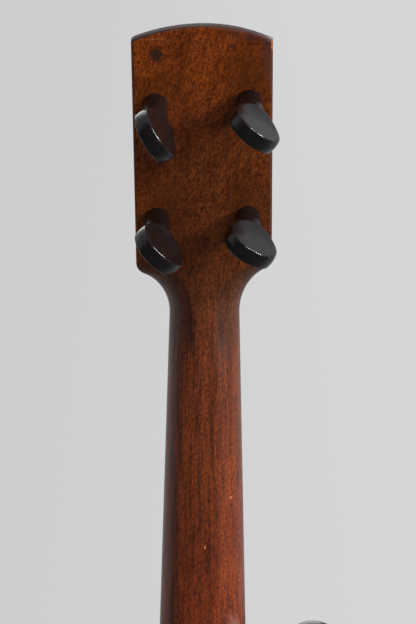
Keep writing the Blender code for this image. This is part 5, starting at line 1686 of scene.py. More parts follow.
@dataclass
class Strings:
    """Five gut strings, from the tailpiece to their pegs, and the turns that ride on the pegs."""

    pegs: Pegs
    neck: Neck
    plan: Plan = PLAN
    diameters: tuple = (0.00066, 0.00074, 0.00088, 0.00104, 0.00066)
    bridge_spacing: float = 0.0115
    bridge_height: float = 0.0118
    bridge_top: float = 0.0028
    loop_stand: float = 0.0035
    fifth_loop_stand: float = 0.0065
    loop_turn: float = math.radians(200.0)
    winding_turns: float = 3.0
    winding_space: float = 0.00055
    plate_above_skin: float = 0.0050
    plate_thickness: float = 0.0035
    plate_length: float = 0.036
    plate_from_hoop: float = 0.0090
    hole_from_edge: float = 0.0055

    def build(self) -> None:
        """Build and dress the strings and their turns."""
        for place in self.pegs.places:
            string, wound = self.string(place)
            name = f"string_{place.number}"
            install(string, GUT, (name,))
            install(wound, GUT, (name + "_winding",), f"peg_{place.number}_body")
            install(self.knot(place.number), GUT)

    def hole_z(self) -> float:
        """Height of the tailpiece's string holes."""
        top = self.plan.pot_z - self.plan.hoop_inner + self.plate_from_hoop + self.plate_length
        return top - self.hole_from_edge

    def over_body(self, number: int) -> Array:
        """Points from the tailpiece's hole over the bridge.

        Args:
            number: The string.

        Returns:
            Points of the centre line.
        """
        radius = self.diameters[number - 1] / 2.0
        x = (3 - number) * self.bridge_spacing
        top = -self.plate_above_skin - self.plate_thickness - self.plan.gap - radius
        bend, hole = 0.0008, self.hole_z()
        turn = np.linspace(0.0, 0.5 * np.pi, 7)
        curve = np.stack([top + bend - bend * np.sin(turn), hole + bend - bend * np.cos(turn)], -1)
        over = -self.plan.gap - self.bridge_height - self.plan.gap - radius
        half, z = self.bridge_top / 2.0, self.plan.bridge_z
        flat = np.concatenate([[(-self.plate_above_skin + 0.0012, hole)], curve, [(over, z - half), (over, z + half)]])
        return np.concatenate([np.full((len(flat), 1), x), flat], 1)

    def over_nut(self, number: int) -> Array:
        """Points over the string's nut.

        Args:
            number: The string.

        Returns:
            Two points.
        """
        radius = self.diameters[number - 1] / 2.0
        gap = self.plan.gap
        if number == 5:
            height = self.neck.fifth_nut_height + gap + radius
            reach = self.neck.fifth_nut_radius
            return moved(np.array([[-reach, 0.0, height], [reach, 0.0, height]]), self.neck.fifth_nut_frame())
        x = (2.5 - number) * self.neck.nut_spacing
        y = self.plan.front_y - gap - self.plan.nut_height - gap - radius
        return np.array([[x, y, self.plan.nut_z], [x, y, self.plan.nut_z + self.plan.nut_thickness]])

    def string(self, place: PegPlace) -> tuple:
        """A string with its loop on the peg, and the winding beyond it.

        The loop lies on a circle of radius R round the peg from where the string first touches it, at
        atan2(y, x) + s acos(R / d); the winding is the helix (R cos a, R sin a, z0 + pitch a / 2 pi), whose last
        part dips into the shaft's hole.

        Args:
            place: The string's peg.

        Returns:
            The string's mesh and the winding's.
        """
        number, matrix = place.number, self.pegs.frame(place)
        diameter = self.diameters[number - 1]
        if number == 5:
            sense, direction, z = 1.0, 1.0, self.fifth_loop_stand
        else:
            sense, direction = math.copysign(1.0, place.out), -1.0
            z = -self.pegs.wood_through(place) - self.loop_stand
        radius = self.pegs.radius(place, z) + self.plan.gap + diameter / 2.0
        nut = self.over_nut(number)
        seen = moved(nut[-1:], np.linalg.inv(matrix))[0]
        first = math.atan2(seen[1], seen[0]) + sense * math.acos(radius / math.hypot(seen[0], seen[1]))
        angle = first + sense * np.linspace(0.0, self.loop_turn, 50)
        loop = np.stack([radius * np.cos(angle), radius * np.sin(angle), np.full(50, z)], -1)
        path = np.concatenate([self.over_body(number), nut, moved(loop, matrix)])
        string = swept(f"gut_string_{number}", path, diameter / 2.0, np.array([0.7, 0.7, 0.0]), 12)
        turns = np.linspace(0.0, self.winding_turns, int(self.winding_turns * 56) + 1)
        around = angle[-1] + sense * 2.0 * np.pi * turns
        height = z + direction * (diameter + self.winding_space) * (1.0 + turns)
        dip = radius - 3.0 * diameter * ease(turns, self.winding_turns - 0.07, self.winding_turns)
        helix = np.stack([dip * np.cos(around), dip * np.sin(around), height], -1)
        wound = swept(f"gut_winding_{number}", moved(helix, matrix), diameter / 2.0, matrix[:3, 2], 12)
        return string, wound

    def knot(self, number: int) -> bpy.types.Mesh:
        """The knot that holds a string under the tailpiece: a trefoil tube.

        The trefoil is (sin t + 2 sin 2t, cos t - 2 cos 2t, -sin 3t), scaled to the string.

        Args:
            number: The string.

        Returns:
            The mesh.
        """
        diameter = self.diameters[number - 1]
        t = np.linspace(0.0, 2.0 * np.pi, 90, endpoint=False)
        knot = np.stack([np.sin(t) + 2 * np.sin(2 * t), -np.sin(3 * t), np.cos(t) - 2 * np.cos(2 * t)], -1)
        knot = knot * diameter * 0.42
        centre = np.array([(3 - number) * self.bridge_spacing, 0.0, self.hole_z()])
        centre[1] = -self.plate_above_skin + self.plan.gap + diameter * 1.1
        path = np.concatenate([knot, knot[:1]]) + centre
        steps = np.gradient(path, axis=0)
        along = unit(steps)
        out = unit(path - centre)
        side = unit(np.cross(along, out))
        cross = np.cross(along, side)
        angles = np.linspace(0.0, 2.0 * np.pi, 8, endpoint=False)[None, :, None]
        section = np.cos(angles) * side[:, None] + np.sin(angles) * cross[:, None]
        return skin_over(f"string_knot_{number}", (path[:, None] + diameter * 0.42 * section)[:-1], True, sharp=60.0)


@dataclass
class Pot:
    """The rim, the skin, its two hoops, the brackets, the dowel stick and the end pin."""

    plan: Plan = PLAN
    segments: int = 288
    stations: tuple = (0.0, 60.0, 120.0, 180.0, 240.0, 300.0)
    hook: float = 0.0019
    hook_bend: float = 0.0034
    hook_from_hoop: float = 0.0005
    hook_claw: float = 0.0045
    hook_tail: float = 0.0025
    shoe_y: float = 0.040
    shoe_flange: float = 0.0080
    shoe_flange_thick: float = 0.0022
    shoe_neck: float = 0.0041
    ear_width: float = 0.0100
    ear_depth: float = 0.0090
    ear_wall: float = 0.0030
    bolt: float = 0.0020
    bolt_head: float = 0.0048
    bolt_head_thick: float = 0.0030
    nut_width: float = 0.0085
    nut_length: float = 0.0080
    dowel_width: float = 0.022
    dowel_depth: float = 0.024
    wedge_length: float = 0.042
    wedge_thick: float = 0.0060
    wedge_taper: float = 0.0015
    wedge_depth: float = 0.0090

    def build(self) -> None:
        """Build and dress every piece of the pot."""
        install(self.rim(), RIM, ("rim",))
        install(self.skin(), CALFSKIN, ("skin_head",))
        install(self.flesh_hoop(), MAPLE, ("flesh_hoop",))
        install(self.tension_hoop(), BRASS, ("tension_hoop",))
        for number, angle in enumerate(self.stations, 1):
            self.station(number, angle)
        install(self.dowel(), DOWEL, ("dowel_stick",))
        install(self.wedge(), MAPLE, ("dowel_wedge",))
        install(self.end_pin(), EBONISED, ("end_pin",))

    def frame(self) -> Array:
        """Frame of the pot: Z out of its back, and the seam of its turned pieces under the heel."""
        return frame_at(np.array([0.0, 0.0, self.plan.pot_z]), np.array([0.0, 0.0, 1.0]), np.array([0.0, 1.0, 0.0]))

    def ring(self, name: str, inner: float, outer: float, low: float, high: float, soft: float) -> bpy.types.Mesh:
        """A ring of rectangular section with rounded edges.

        Args:
            name: The mesh's name.
            inner: Inner radius.
            outer: Outer radius.
            low: Its level nearest the player.
            high: Its level furthest back.
            soft: How far the rounding reaches from each edge.

        Returns:
            The mesh.
        """
        corners = np.array([(inner, low), (outer, low), (outer, high), (inner, high)])
        profile = rounded_outline(corners, soft, 6)
        return turned(name, profile, self.frame(), self.segments, True)

    def rim(self) -> bpy.types.Mesh:
        """The bent wooden rim."""
        plan = self.plan
        low = plan.skin + plan.gap
        return self.ring("bent_rim", plan.rim_inner, plan.rim_radius * plan.flat + 0.0001, low, plan.rim_back_y, 0.0012)

    def skin(self) -> bpy.types.Mesh:
        """The skin, stretched over the rim's edge and lapped up inside round the flesh hoop.

        Returns:
            The mesh.
        """
        plan = self.plan
        t, gap = plan.skin, plan.gap
        inner = plan.rim_radius * plan.flat + gap
        lap = plan.hoop_inner + plan.flesh_hoop + gap
        angle = np.linspace(0.0, 0.5 * np.pi, 7)
        soft = 0.0016
        over = np.stack([inner + t - soft + soft * np.sin(angle), soft - soft * np.cos(angle)], -1)
        under = np.stack([inner - (soft - t) + (soft - t) * np.sin(angle), soft - (soft - t) * np.cos(angle)], -1)
        radii = np.linspace(0.012, inner - 0.004, 12)
        front = np.stack([radii, 0.0 * radii], -1)
        back = np.stack([radii[::-1], t + 0.0 * radii], -1)
        fold = [(inner + t, plan.lap_y - t), (lap, plan.lap_y - t), (lap, plan.hoop_back_y + gap)]
        fold += [(lap + t, plan.hoop_back_y + gap), (lap + t, plan.lap_y - 0.3 * t), (lap + 0.7 * t, plan.lap_y), (inner, plan.lap_y)]
        profile = np.concatenate([[(0.0, 0.0)], front, over, fold, under[::-1], back, [(0.0, t)]])
        return turned("calfskin_head", profile, self.frame(), self.segments)

    def flesh_hoop(self) -> bpy.types.Mesh:
        """The hoop inside the skin's lap."""
        plan = self.plan
        low = plan.hoop_back_y + plan.gap
        inner = plan.hoop_inner
        return self.ring("lapped_flesh_hoop", inner, inner + plan.flesh_hoop, low, low + plan.flesh_hoop, 0.0010)

    def tension_hoop(self) -> bpy.types.Mesh:
        """The brass hoop that draws the skin down."""
        plan = self.plan
        return self.ring("brass_tension_hoop", plan.hoop_inner, plan.hoop_outer, -plan.hoop_proud, plan.hoop_back_y, 0.0012)

    def station_frame(self, angle: float) -> Array:
        """Frame of a bracket station: Z out along the bolt, X towards the rim's back."""
        turn = math.radians(angle)
        outward = np.array([math.cos(turn), 0.0, math.sin(turn)])
        return frame_at(np.array([0.0, self.shoe_y, self.plan.pot_z]), np.array([0.0, 1.0, 0.0]), outward)

    def hook_circle(self) -> float:
        """Radius at which the hooks stand."""
        return self.plan.hoop_outer + self.hook_from_hoop + self.hook

    def station(self, number: int, angle: float) -> None:
        """Build one bracket: its shoe, bolt, hook and nut.

        Args:
            number: The station's number.
            angle: Its angle round the pot, in degrees.
        """
        place = self.station_frame(angle)
        install(self.shoe(number, place), BRASS, (f"bracket_shoe_{number}",))
        install(self.bolt_mesh(number, place), BRASS, (f"bracket_bolt_{number}",))
        install(self.hook_mesh(number, place), BRASS, (f"tension_hook_{number}",))
        install(self.nut_mesh(number, place), BRASS, (f"hook_nut_{number}",))

    def shoe(self, number: int, place: Array) -> bpy.types.Mesh:
        """A turned foot joined to the ear that the hook passes through.

        Args:
            number: The station's number.
            place: Its frame.

        Returns:
            The mesh.
        """
        wall = self.plan.rim_radius * self.plan.flat + self.plan.gap
        low, circle = wall + self.shoe_flange_thick, self.hook_circle()
        flange, stem = self.shoe_flange, self.shoe_neck
        profile = [(0.0, wall), (flange - 0.0002, wall), (flange, wall + 0.0002), (flange, wall + 0.0008)]
        profile += [(flange * 0.93, wall + 0.0014), (flange * 0.80, low - 0.0003), (flange * 0.62, low + 0.0005)]
        profile += [(stem + 0.0002, low + 0.0012), (stem, low + 0.0020), (stem, circle), (0.0, circle)]
        foot = turned(f"brass_shoe_{number}", np.array(profile), place, 40)
        half_d, half_w = self.ear_depth / 2.0, self.ear_width / 2.0
        corners = np.array([(-half_d, -half_w), (half_d, -half_w), (half_d, half_w), (-half_d, half_w)])
        start, end = circle - self.hook - self.ear_wall, circle + self.hook + self.ear_wall
        levels = np.array([start, start + 0.0004, start + 0.0012, end - 0.0012, end - 0.0004, end])
        ear = slab("ear", rounded_outline(corners, 0.0012, 5), levels, place, np.array([0.14, 0.04, 0.0, 0.0, 0.04, 0.14]))
        return changed(foot, [ear], Cut.JOINED, 32.0)

    def bolt_mesh(self, number: int, place: Array) -> bpy.types.Mesh:
        """The bolt's domed head inside the rim, and its shank.

        Args:
            number: The station's number.
            place: Its frame.

        Returns:
            The mesh.
        """
        top = self.plan.rim_inner - self.plan.gap
        low = self.plan.rim_inner * self.plan.flat - self.plan.gap - self.bolt_head_thick
        angle = np.linspace(0.15, 1.0, 8) * 0.5 * np.pi
        dome = np.stack([self.bolt_head * np.sin(angle), low + (self.bolt_head_thick - 0.0007) * (1.0 - np.cos(angle))], -1)
        end = self.plan.rim_radius * self.plan.flat + self.plan.gap + 0.0055
        shank = [(self.bolt_head, top), (self.bolt, top + 0.00001), (self.bolt, end), (0.0, end)]
        profile = np.concatenate([[(0.0, low)], dome, shank])
        return turned(f"brass_bolt_{number}", profile, place, 36)

    def hook_mesh(self, number: int, place: Array) -> bpy.types.Mesh:
        """The hook: a straight rod that bends a quarter turn over the hoop.

        Args:
            number: The station's number.
            place: Its frame.

        Returns:
            The mesh.
        """
        circle, bend = self.hook_circle(), self.hook_bend
        tail = self.ear_depth / 2.0 + self.plan.gap + self.nut_length + self.hook_tail
        claw = -self.plan.hoop_proud - self.plan.gap - self.hook - self.shoe_y
        angle = np.linspace(0.0, 0.5 * np.pi, 14)
        turn = np.stack([claw + bend - bend * np.sin(angle), 0.0 * angle, circle - bend + bend * np.cos(angle)], -1)
        path = np.concatenate([[(tail, 0.0, circle)], [(tail - 0.0006, 0.0, circle)], turn, [(claw, 0.0, circle - self.hook_claw)]])
        radius = np.full(len(path), self.hook)
        radius[0] -= 0.0004
        return swept(f"brass_hook_{number}", moved(path, place), radius, place[:3, 1], 24)

    def nut_mesh(self, number: int, place: Array) -> bpy.types.Mesh:
        """The six-sided nut that draws the hook down, with its corners turned off.

        Args:
            number: The station's number.
            place: Its frame.

        Returns:
            The mesh.
        """
        low = self.ear_depth / 2.0 + self.plan.gap
        angle = np.arange(6) * np.pi / 3.0
        corners = np.stack([np.cos(angle), np.sin(angle)], -1) * self.nut_width / 2.0
        across = np.eye(4)
        across[:3, :3] = np.array([[0.0, 0.0, 1.0], [0.0, 1.0, 0.0], [-1.0, 0.0, 0.0]])
        across[2, 3] = self.hook_circle()
        levels = low + np.array([0.0, 0.0005, 0.0010, self.nut_length - 0.0010, self.nut_length - 0.0005, self.nut_length])
        inset = np.array([0.12, 0.035, 0.0, 0.0, 0.035, 0.12])
        outline = rounded_outline(corners, 0.0005, 4)
        return slab(f"brass_nut_{number}", outline, levels, place @ across, inset)

    def bar(self, name: str, low: Array, high: Array, soft: float) -> bpy.types.Mesh:
        """A bar along Z between two corners, with rounded long edges and ends.

        Args:
            name: The mesh's name.
            low: Its lowest corner.
            high: Its highest corner.
            soft: Reach of the rounding.

        Returns:
            The mesh.
        """
        corners = np.array([(low[0], low[1]), (high[0], low[1]), (high[0], high[1]), (low[0], high[1])])
        levels = np.concatenate([[low[2], low[2] + 0.0004], np.linspace(low[2] + 0.001, high[2] - 0.001, 60), [high[2] - 0.0004, high[2]]])
        inset = np.zeros(len(levels))
        inset[[0, -1]] = 0.05
        inset[[1, -2]] = 0.012
        return slab(name, rounded_outline(corners, soft, 6), levels, np.eye(4), inset)

    def dowel(self) -> bpy.types.Mesh:
        """The dowel stick from the heel to the tail, with its long edges rounded.

        Returns:
            The mesh.
        """
        plan, half, deep = self.plan, self.dowel_width / 2.0, self.dowel_depth / 2.0
        top = plan.pot_z + math.sqrt(plan.rim_radius**2 - half**2) * plan.flat - plan.gap
        bottom = plan.pot_z - math.sqrt(plan.rim_inner**2 - half**2) * plan.flat + plan.gap
        low = np.array([-half, plan.dowel_y - deep, bottom])
        high = np.array([half, plan.dowel_y + deep, top])
        return self.bar("dowel_bar", low, high, 0.0030)

    def wedge(self) -> bpy.types.Mesh:
        """The wedge through the dowel stick that draws the rim to the heel.

        Its lower face slants: level = top - thickness + taper x / length.

        Returns:
            The mesh.
        """
        plan, half, deep = self.plan, self.wedge_length / 2.0, self.wedge_depth / 2.0
        top = plan.pot_z + math.sqrt(plan.rim_inner**2 - half**2) * plan.flat - plan.gap
        x = np.concatenate([[-half, -half + 0.0003], np.linspace(-half + 0.001, half - 0.001, 30), [half - 0.0003, half]])
        low = top - self.wedge_thick + self.wedge_taper * x / self.wedge_length
        shrink = np.zeros(len(x))
        shrink[[0, -1]] = 0.0006
        shrink[[1, -2]] = 0.0002
        corners = np.array([(-1.0, 0.0), (1.0, 0.0), (1.0, 1.0), (-1.0, 1.0)])
        outline = rounded_outline(corners * np.array([deep, self.wedge_thick]), 0.0007, 4) / np.array([deep, self.wedge_thick])
        y = plan.dowel_y + outline[None, :, 0] * (deep - shrink[:, None])
        span = (top - low - 2.0 * shrink)[:, None]
        z = low[:, None] + shrink[:, None] + outline[None, :, 1] * span
        rings = np.stack([np.broadcast_to(x[:, None], y.shape), y, z], -1)
        return skin_over("draw_wedge", rings, sharp=32.0)

    def end_pin(self) -> bpy.types.Mesh:
        """The turned end pin: shank, flange, neck and button.

        Returns:
            The mesh.
        """
        plan = self.plan
        bottom = math.sqrt(plan.rim_inner**2 - (self.dowel_width / 2.0) ** 2) * plan.flat - plan.gap
        flange = plan.rim_radius * plan.flat + plan.gap
        neck = flange + 0.0020
        button = neck + 0.0125
        profile = [(0.0, -bottom + 0.016), (0.0032, -bottom + 0.016), (0.0032, -flange), (0.0066, -flange), (0.0070, -flange - 0.0004)]
        profile += [(0.0070, -neck + 0.0008), (0.0062, -neck + 0.0003), (0.0046, -neck), (0.0042, -neck - 0.0006), (0.0041, -neck - 0.0060)]
        profile += [(0.0042, -button + 0.0008), (0.0052, -button - 0.0002), (0.0074, -button - 0.0008), (0.0080, -button - 0.0020)]
        profile += [(0.0079, -button - 0.0036), (0.0072, -button - 0.0054), (0.0058, -button - 0.0068), (0.0040, -button - 0.0076)]
        profile += [(0.0018, -button - 0.0080), (0.0, -button - 0.0080)]
        place = np.eye(4)
        place[:3, 3] = (0.0, plan.dowel_y, plan.pot_z)
        return turned("turned_end_pin", np.array(profile), place, 56, sharp=50.0)


@dataclass
class Tail:
    """The bridge, the tailpiece and the gut that ties it to the end pin."""

    strings: Strings
    plan: Plan = PLAN
    bridge_length: float = 0.070
    foot: float = 0.0085
    arch_height: float = 0.0062
    arch_width: float = 0.0170
    plate_top: float = 0.058
    plate_tail: float = 0.030
    gut: float = 0.0011
    gut_half: float = 0.0085
    pin_neck: float = 0.0042

    def build(self) -> None:
        """Build and dress the bridge, the tailpiece and its gut."""
        install(self.bridge(), MAPLE, ("bridge",))
        install(self.plate(), EBONISED, ("tailpiece",))
        install(self.tail_gut(), GUT, ("tail_gut",))

    def bridge(self) -> bpy.types.Mesh:
        """The bridge: an outline with two round arches, thick at its feet and thin on top.

        At the share s of its height, the thickness is foot + s (top - foot); each string has a notch
        n exp(-(x - c)^2 / w^2) in the top edge.

        Returns:
            The mesh.
        """
        half, foot = self.bridge_length / 2.0, -self.plan.gap
        height, thin = self.strings.bridge_height, self.strings.bridge_top
        middle = (half - self.arch_width) * 0.42
        x = np.linspace(-half + 0.006, half - 0.006, 240)
        strings = (np.arange(5) - 2.0) * self.strings.bridge_spacing
        notch = 0.0005 * np.exp(-(((x[:, None] - strings) / 0.0005) ** 2)).sum(axis=1)
        sag = 0.0002 * (1.0 - np.cos(np.pi * x / half))
        top = np.stack([x, foot - height + notch + sag], -1)
        angle = np.linspace(0.0, np.pi, 36)
        arches = []
        for start in (middle + self.arch_width, -middle):
            end = start - self.arch_width
            across = (start + end) / 2.0 + (start - end) / 2.0 * np.cos(angle)
            arches.append(np.stack([across, foot - self.arch_height * np.sin(angle)], -1))
        left = [(-half, foot), (-half, foot - 0.0036), (-half + 0.0008, foot - 0.0046)]
        right = [(half - 0.0008, foot - 0.0046), (half, foot - 0.0036), (half, foot)]
        outline = np.concatenate([left, top, right, *arches])
        share = (foot - outline[:, 1]) / height
        thick = self.foot + share * (thin - self.foot)
        levels = np.array([-0.5, -0.47, 0.47, 0.5])[:, None]
        pulled = np.array([0.0003, 0.0, 0.0, 0.0003])[:, None]
        toward = unit(outline - np.array([0.0, foot - 0.6 * height]))
        flat = outline[None] - pulled[..., None] * toward[None]
        z = self.plan.bridge_z + levels * thick
        rings = np.stack([flat[..., 0], flat[..., 1], z], -1)
        return self.capped("maple_bridge", rings)

    def capped(self, name: str, rings: Array) -> bpy.types.Mesh:
        """A skin whose two end rings, which aren't round, are closed by one flat face each.

        Args:
            name: The mesh's name.
            rings: Points as rows by columns by 3.

        Returns:
            The mesh.
        """
        rows, columns = rings.shape[:2]
        index = np.arange(rows * columns).reshape(rows, columns)
        low, high = index[:-1], index[1:]
        quads = np.stack([low, np.roll(low, -1, 1), np.roll(high, -1, 1), high], -1).reshape(-1, 4)
        points = rings.reshape(-1, 3)
        ends = [index[0][::-1].tolist(), index[-1].tolist()]
        centred = points - points.mean(axis=0)
        if signed_volume(centred, quads) < 0.0:
            quads = quads[:, ::-1]
            ends = [end[::-1] for end in ends]
        mesh = bpy.data.meshes.new(name)
        mesh.from_pydata(points.tolist(), [], quads.tolist() + ends)
        layer = mesh.uv_layers.new(name="run")
        corner = np.empty(len(mesh.loops), int)
        mesh.loops.foreach_get("vertex_index", corner)
        layer.data.foreach_set("uv", points[corner][:, [0, 1]].astype(np.float32).ravel())
        return smoothed(mesh, 32.0)

    def plate(self) -> bpy.types.Mesh:
        """The tailpiece plate: rounded outline, softened edges, with its string and gut holes.

        Returns:
            The mesh.
        """
        top_z = self.strings.hole_z() + self.strings.hole_from_edge
        length, thick = self.strings.plate_length, self.strings.plate_thickness
        half, low = self.plate_top / 2.0, self.plate_tail / 2.0
        waist = -length * 0.4 + 0.002
        corners = np.array([(half, 0.0), (-half, 0.0), (-half, waist), (-low, -length), (low, -length), (half, waist)])
        outline = rounded_outline(corners, np.array([0.003, 0.003, 0.005, 0.002, 0.002, 0.005]), 8)
        back = -self.strings.plate_above_skin
        place = np.eye(4)
        place[:3, :3] = np.array([[1.0, 0.0, 0.0], [0.0, 0.0, -1.0], [0.0, 1.0, 0.0]])
        place[:3, 3] = (0.0, back, top_z)
        levels = np.array([0.0, 0.0003, 0.0008, thick - 0.0008, thick - 0.0003, thick])
        plate = slab("ebonised_tailpiece", outline, levels, place, np.array([0.025, 0.006, 0.0, 0.0, 0.006, 0.025]))
        holes = []
        for number, diameter in enumerate(self.strings.diameters, 1):
            spot = (3 - number) * self.strings.bridge_spacing
            holes.append(self.hole(place, spot, -self.strings.hole_from_edge, diameter / 2.0 + 0.0006))
        for side in (-1.0, 1.0):
            holes.append(self.hole(place, side * self.gut_half, -length + 0.0055, self.gut + 0.0006))
        return changed(plate, holes, Cut.AWAY, 32.0)

    def hole(self, place: Array, x: float, y: float, radius: float) -> bpy.types.Mesh:
        """A cutter through the plate.

        Args:
            place: The plate's frame.
            x: Where the hole is across the plate.
            y: Where it is along the plate.
            radius: Its radius.

        Returns:
            The mesh.
        """
        spot = np.eye(4)
        spot[:3, 3] = (x, y, 0.0)
        profile = np.array([(0.0, -0.01), (radius, -0.01), (radius, 0.02), (0.0, 0.02)])
        return turned("hole", profile, place @ spot, 28)

    def tail_gut(self) -> bpy.types.Mesh:
        """The gut from the tailpiece over the hoop, round the end pin's neck, and back.

        Returns:
            The mesh.
        """
        plan, radius, half = self.plan, self.gut, self.gut_half
        back = -self.strings.plate_above_skin
        front = back - self.strings.plate_thickness
        gut_z = self.strings.hole_z() + self.strings.hole_from_edge - self.strings.plate_length + 0.0055
        over = front - radius - 0.0009
        rim_over = -plan.hoop_proud - plan.gap - radius
        outside = plan.pot_z - (plan.hoop_outer * plan.flat + 2.0 * plan.gap + radius)
        loop = self.pin_neck + 2.0 * plan.gap + radius
        up = np.array([
            (half, back + 0.0015, gut_z), (half, over + 0.0014, gut_z), (half, over + 0.0004, gut_z - 0.0004),
            (half, over, gut_z - 0.0014), (half, over, gut_z - 0.0060),
            (half * 0.96, rim_over, plan.pot_z - plan.hoop_inner - 0.0010), (half * 0.94, rim_over, outside + 0.0024),
            (half * 0.93, rim_over + 0.0007, outside + 0.0007), (half * 0.92, rim_over + 0.0024, outside),
            (loop, plan.dowel_y, outside),
        ])
        angle = np.linspace(0.0, np.pi, 18)[1:-1]
        turn = np.stack([loop * np.cos(angle), plan.dowel_y + loop * np.sin(angle), np.full(len(angle), outside)], -1)
        path = np.concatenate([up, turn, up[::-1] * np.array([-1.0, 1.0, 1.0])])
        return swept("tail_gut_loop", path, radius, np.array([0.55, 0.6, 0.58]), 14)


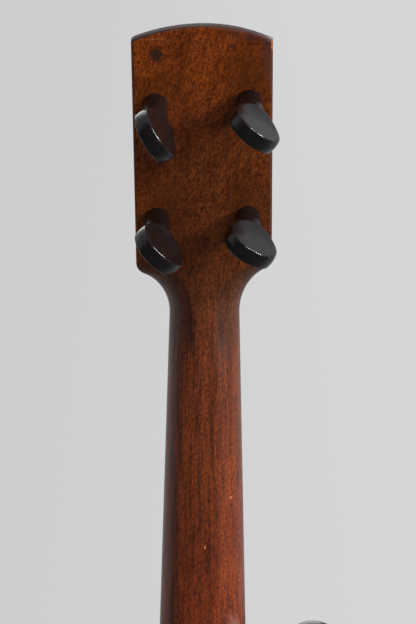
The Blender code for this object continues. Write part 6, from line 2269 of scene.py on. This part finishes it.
@dataclass
class Studio:
    """Pale floor, soft lamps, the world and the photograph's camera."""

    target: tuple = (-0.00184, 0.0165, -0.0080)
    distance: float = 2.0
    elevation: float = 14.0
    lens: float = 238.4
    backdrop_left: Colour = (0.610, 0.615, 0.618)
    backdrop_right: Colour = (0.670, 0.675, 0.680)
    far: Colour = (0.66, 0.665, 0.67)
    ground: Colour = (0.40, 0.403, 0.406)
    room: Colour = (0.045, 0.0455, 0.046)
    backdrop: Colour = (0.40, 0.403, 0.408)

    def build(self) -> None:
        """Build the camera, the world, the lamps and the floor."""
        self.camera()
        self.world()
        self.lamp("key", (-1.40, 1.35, 1.87), 0.6, 55.0)
        self.lamp("side", (-1.77, 1.30, 0.85), 0.5, 80.0)
        self.lamp("fill", (1.9, 1.4, 0.3), 1.6, 14.0).visible_glossy = False
        self.lamp("front", (0.3, -2.0, 0.9), 1.6, 14.0)
        self.floor()

    def camera(self) -> None:
        """The camera: on the far side of the target, at the photograph's elevation."""
        lift = math.radians(self.elevation)
        back = np.array([0.0, math.cos(lift), math.sin(lift)])
        side = np.array([-1.0, 0.0, 0.0])
        made = bpy.data.objects.new("camera", bpy.data.cameras.new("camera"))
        bpy.context.scene.collection.objects.link(made)
        place = np.eye(4)
        place[:3, 0] = side
        place[:3, 1] = np.cross(back, side)
        place[:3, 2] = back
        place[:3, 3] = np.array(self.target) + back * self.distance
        made.matrix_world = Matrix(place.tolist())
        made.data.lens = self.lens
        made.data.sensor_width = 36.0
        made.data.clip_start = 0.05
        made.data.clip_end = 200.0
        bpy.context.scene.camera = made

    def world(self) -> None:
        """A world seen as an even pale backdrop, whose light is weak from the camera's side and pale from behind."""
        world = bpy.data.worlds.new("studio")
        world.use_nodes = True
        bpy.context.scene.world = world
        graph = Graph(world.node_tree)
        background = world.node_tree.nodes["Background"]
        path = graph.add("ShaderNodeLightPath").outputs
        seen = graph.math("MAXIMUM", path["Is Camera Ray"], path["Is Transmission Ray"])
        way = graph.add("ShaderNodeSeparateXYZ", {0: graph.add("ShaderNodeTexCoord").outputs["Generated"]}).outputs["Y"]
        lit = graph.mix(graph.between(way, 0.45, -0.10), self.room, self.backdrop)
        inputs = {0: seen, 6: lit, 7: opaque(self.far)}
        colour = graph.add("ShaderNodeMix", inputs, data_type="RGBA").outputs[2]
        world.node_tree.links.new(colour, background.inputs[0])
        background.inputs[1].default_value = 1.0

    def lamp(self, name: str, place: tuple, size: float, power: float) -> bpy.types.Object:
        """A square soft lamp that looks at the middle of the instrument.

        Args:
            name: Its name.
            place: Where it stands.
            size: Its side.
            power: Its power in watts.

        Returns:
            The lamp.
        """
        data = bpy.data.lights.new(name, "AREA")
        data.size = size
        data.energy = power
        made = bpy.data.objects.new(name, data)
        bpy.context.scene.collection.objects.link(made)
        origin = np.array(place)
        away = unit(origin - np.array([0.0, 0.0, 0.0]))
        matrix = frame_at(origin, np.array([0.0, 0.0, 1.0]), away)
        made.matrix_world = Matrix(matrix.tolist())
        return made

    def floor(self) -> None:
        """A wide round floor under the instrument: it keeps the shadow near it and further out glows pale grey, with
        painted light that makes it lighter towards -X.
        """
        low = float(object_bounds()[0][2]) - 0.002
        angle = np.linspace(0.0, 2.0 * np.pi, 64, endpoint=False)
        radii = np.array([0.5, 2.0, 6.0, 20.0, 60.0])
        rings = np.stack([radii[:, None] * np.cos(angle), radii[:, None] * np.sin(angle), np.full((5, 64), low)], -1)
        mesh = bpy.data.meshes.new("studio_floor")
        index = np.arange(5 * 64).reshape(5, 64)
        quads = np.stack([index[:-1], index[1:], np.roll(index[1:], -1, 1), np.roll(index[:-1], -1, 1)], -1)
        mesh.from_pydata(rings.reshape(-1, 3).tolist(), [], quads.reshape(-1, 4).tolist() + [index[0].tolist()])
        made = bpy.data.objects.new("studio_floor", mesh)
        bpy.context.scene.collection.objects.link(made)
        mesh.materials.append(self.floor_material())
        made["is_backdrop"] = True

    def floor_material(self) -> bpy.types.Material:
        """Pale matt floor, which far from the instrument glows as the backdrop's grey, painted lighter towards -X.

        Returns:
            The material.
        """
        made = bpy.data.materials.new("studio_floor")
        made.use_nodes = True
        graph = Graph(made.node_tree)
        shader = made.node_tree.nodes["Principled BSDF"]
        shader.inputs["Base Color"].default_value = opaque(self.ground)
        shader.inputs["Roughness"].default_value = 0.9
        shader.inputs["Specular IOR Level"].default_value = 0.1
        place = graph.add("ShaderNodeTexCoord").outputs["Object"]
        axes = graph.add("ShaderNodeSeparateXYZ", {0: place}).outputs
        # Painted light: the glow grows lighter towards -X, the side where the key and side lamps stand.
        across = graph.between(axes["X"], 0.30, -0.30)
        away = graph.add("ShaderNodeVectorMath", {0: place}, operation="LENGTH").outputs["Value"]
        tint = graph.mix(across, self.backdrop_left, self.backdrop_right)
        tint = graph.mix(graph.between(away, 8.0, 20.0), tint, self.far)
        glow = graph.add("ShaderNodeEmission", {"Color": tint, "Strength": 1.0}).outputs[0]
        path = graph.add("ShaderNodeLightPath").outputs
        seen = graph.math("MAXIMUM", path["Is Camera Ray"], path["Is Transmission Ray"])
        share = graph.math("MULTIPLY", seen, graph.between(away, 0.6, 1.6))
        both = graph.add("ShaderNodeMixShader", {0: share, 1: shader.outputs[0], 2: glow}).outputs[0]
        mirrored = graph.mix(graph.between(axes["Y"], 0.6, -0.2), self.room, self.backdrop)
        dim = graph.add("ShaderNodeEmission", {"Color": mirrored, "Strength": 1.0}).outputs[0]
        both = graph.add("ShaderNodeMixShader", {0: path["Is Glossy Ray"], 1: both, 2: dim}).outputs[0]
        made.node_tree.links.new(both, made.node_tree.nodes["Material Output"].inputs["Surface"])
        return made


def corners(bounds: tuple) -> list:
    """A box's two corners as plain lists of numbers."""
    return [[float(value) for value in corner] for corner in bounds]


def main() -> None:
    """Build every sub-assembly in order."""
    logging.basicConfig(level=logging.INFO, format="%(name)s %(message)s")
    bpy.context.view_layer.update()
    bpy.context.scene.view_settings.view_transform = "Standard"
    shape = NeckShape()
    neck = Neck(shape)
    pegs = Pegs(shape)
    strings = Strings(pegs, neck)
    for assembly in (neck, pegs, strings, Pot(), Tail(strings), Studio()):
        LOG.info("building %s", type(assembly).__name__)
        assembly.build()


if __name__ == "__main__":
    main()
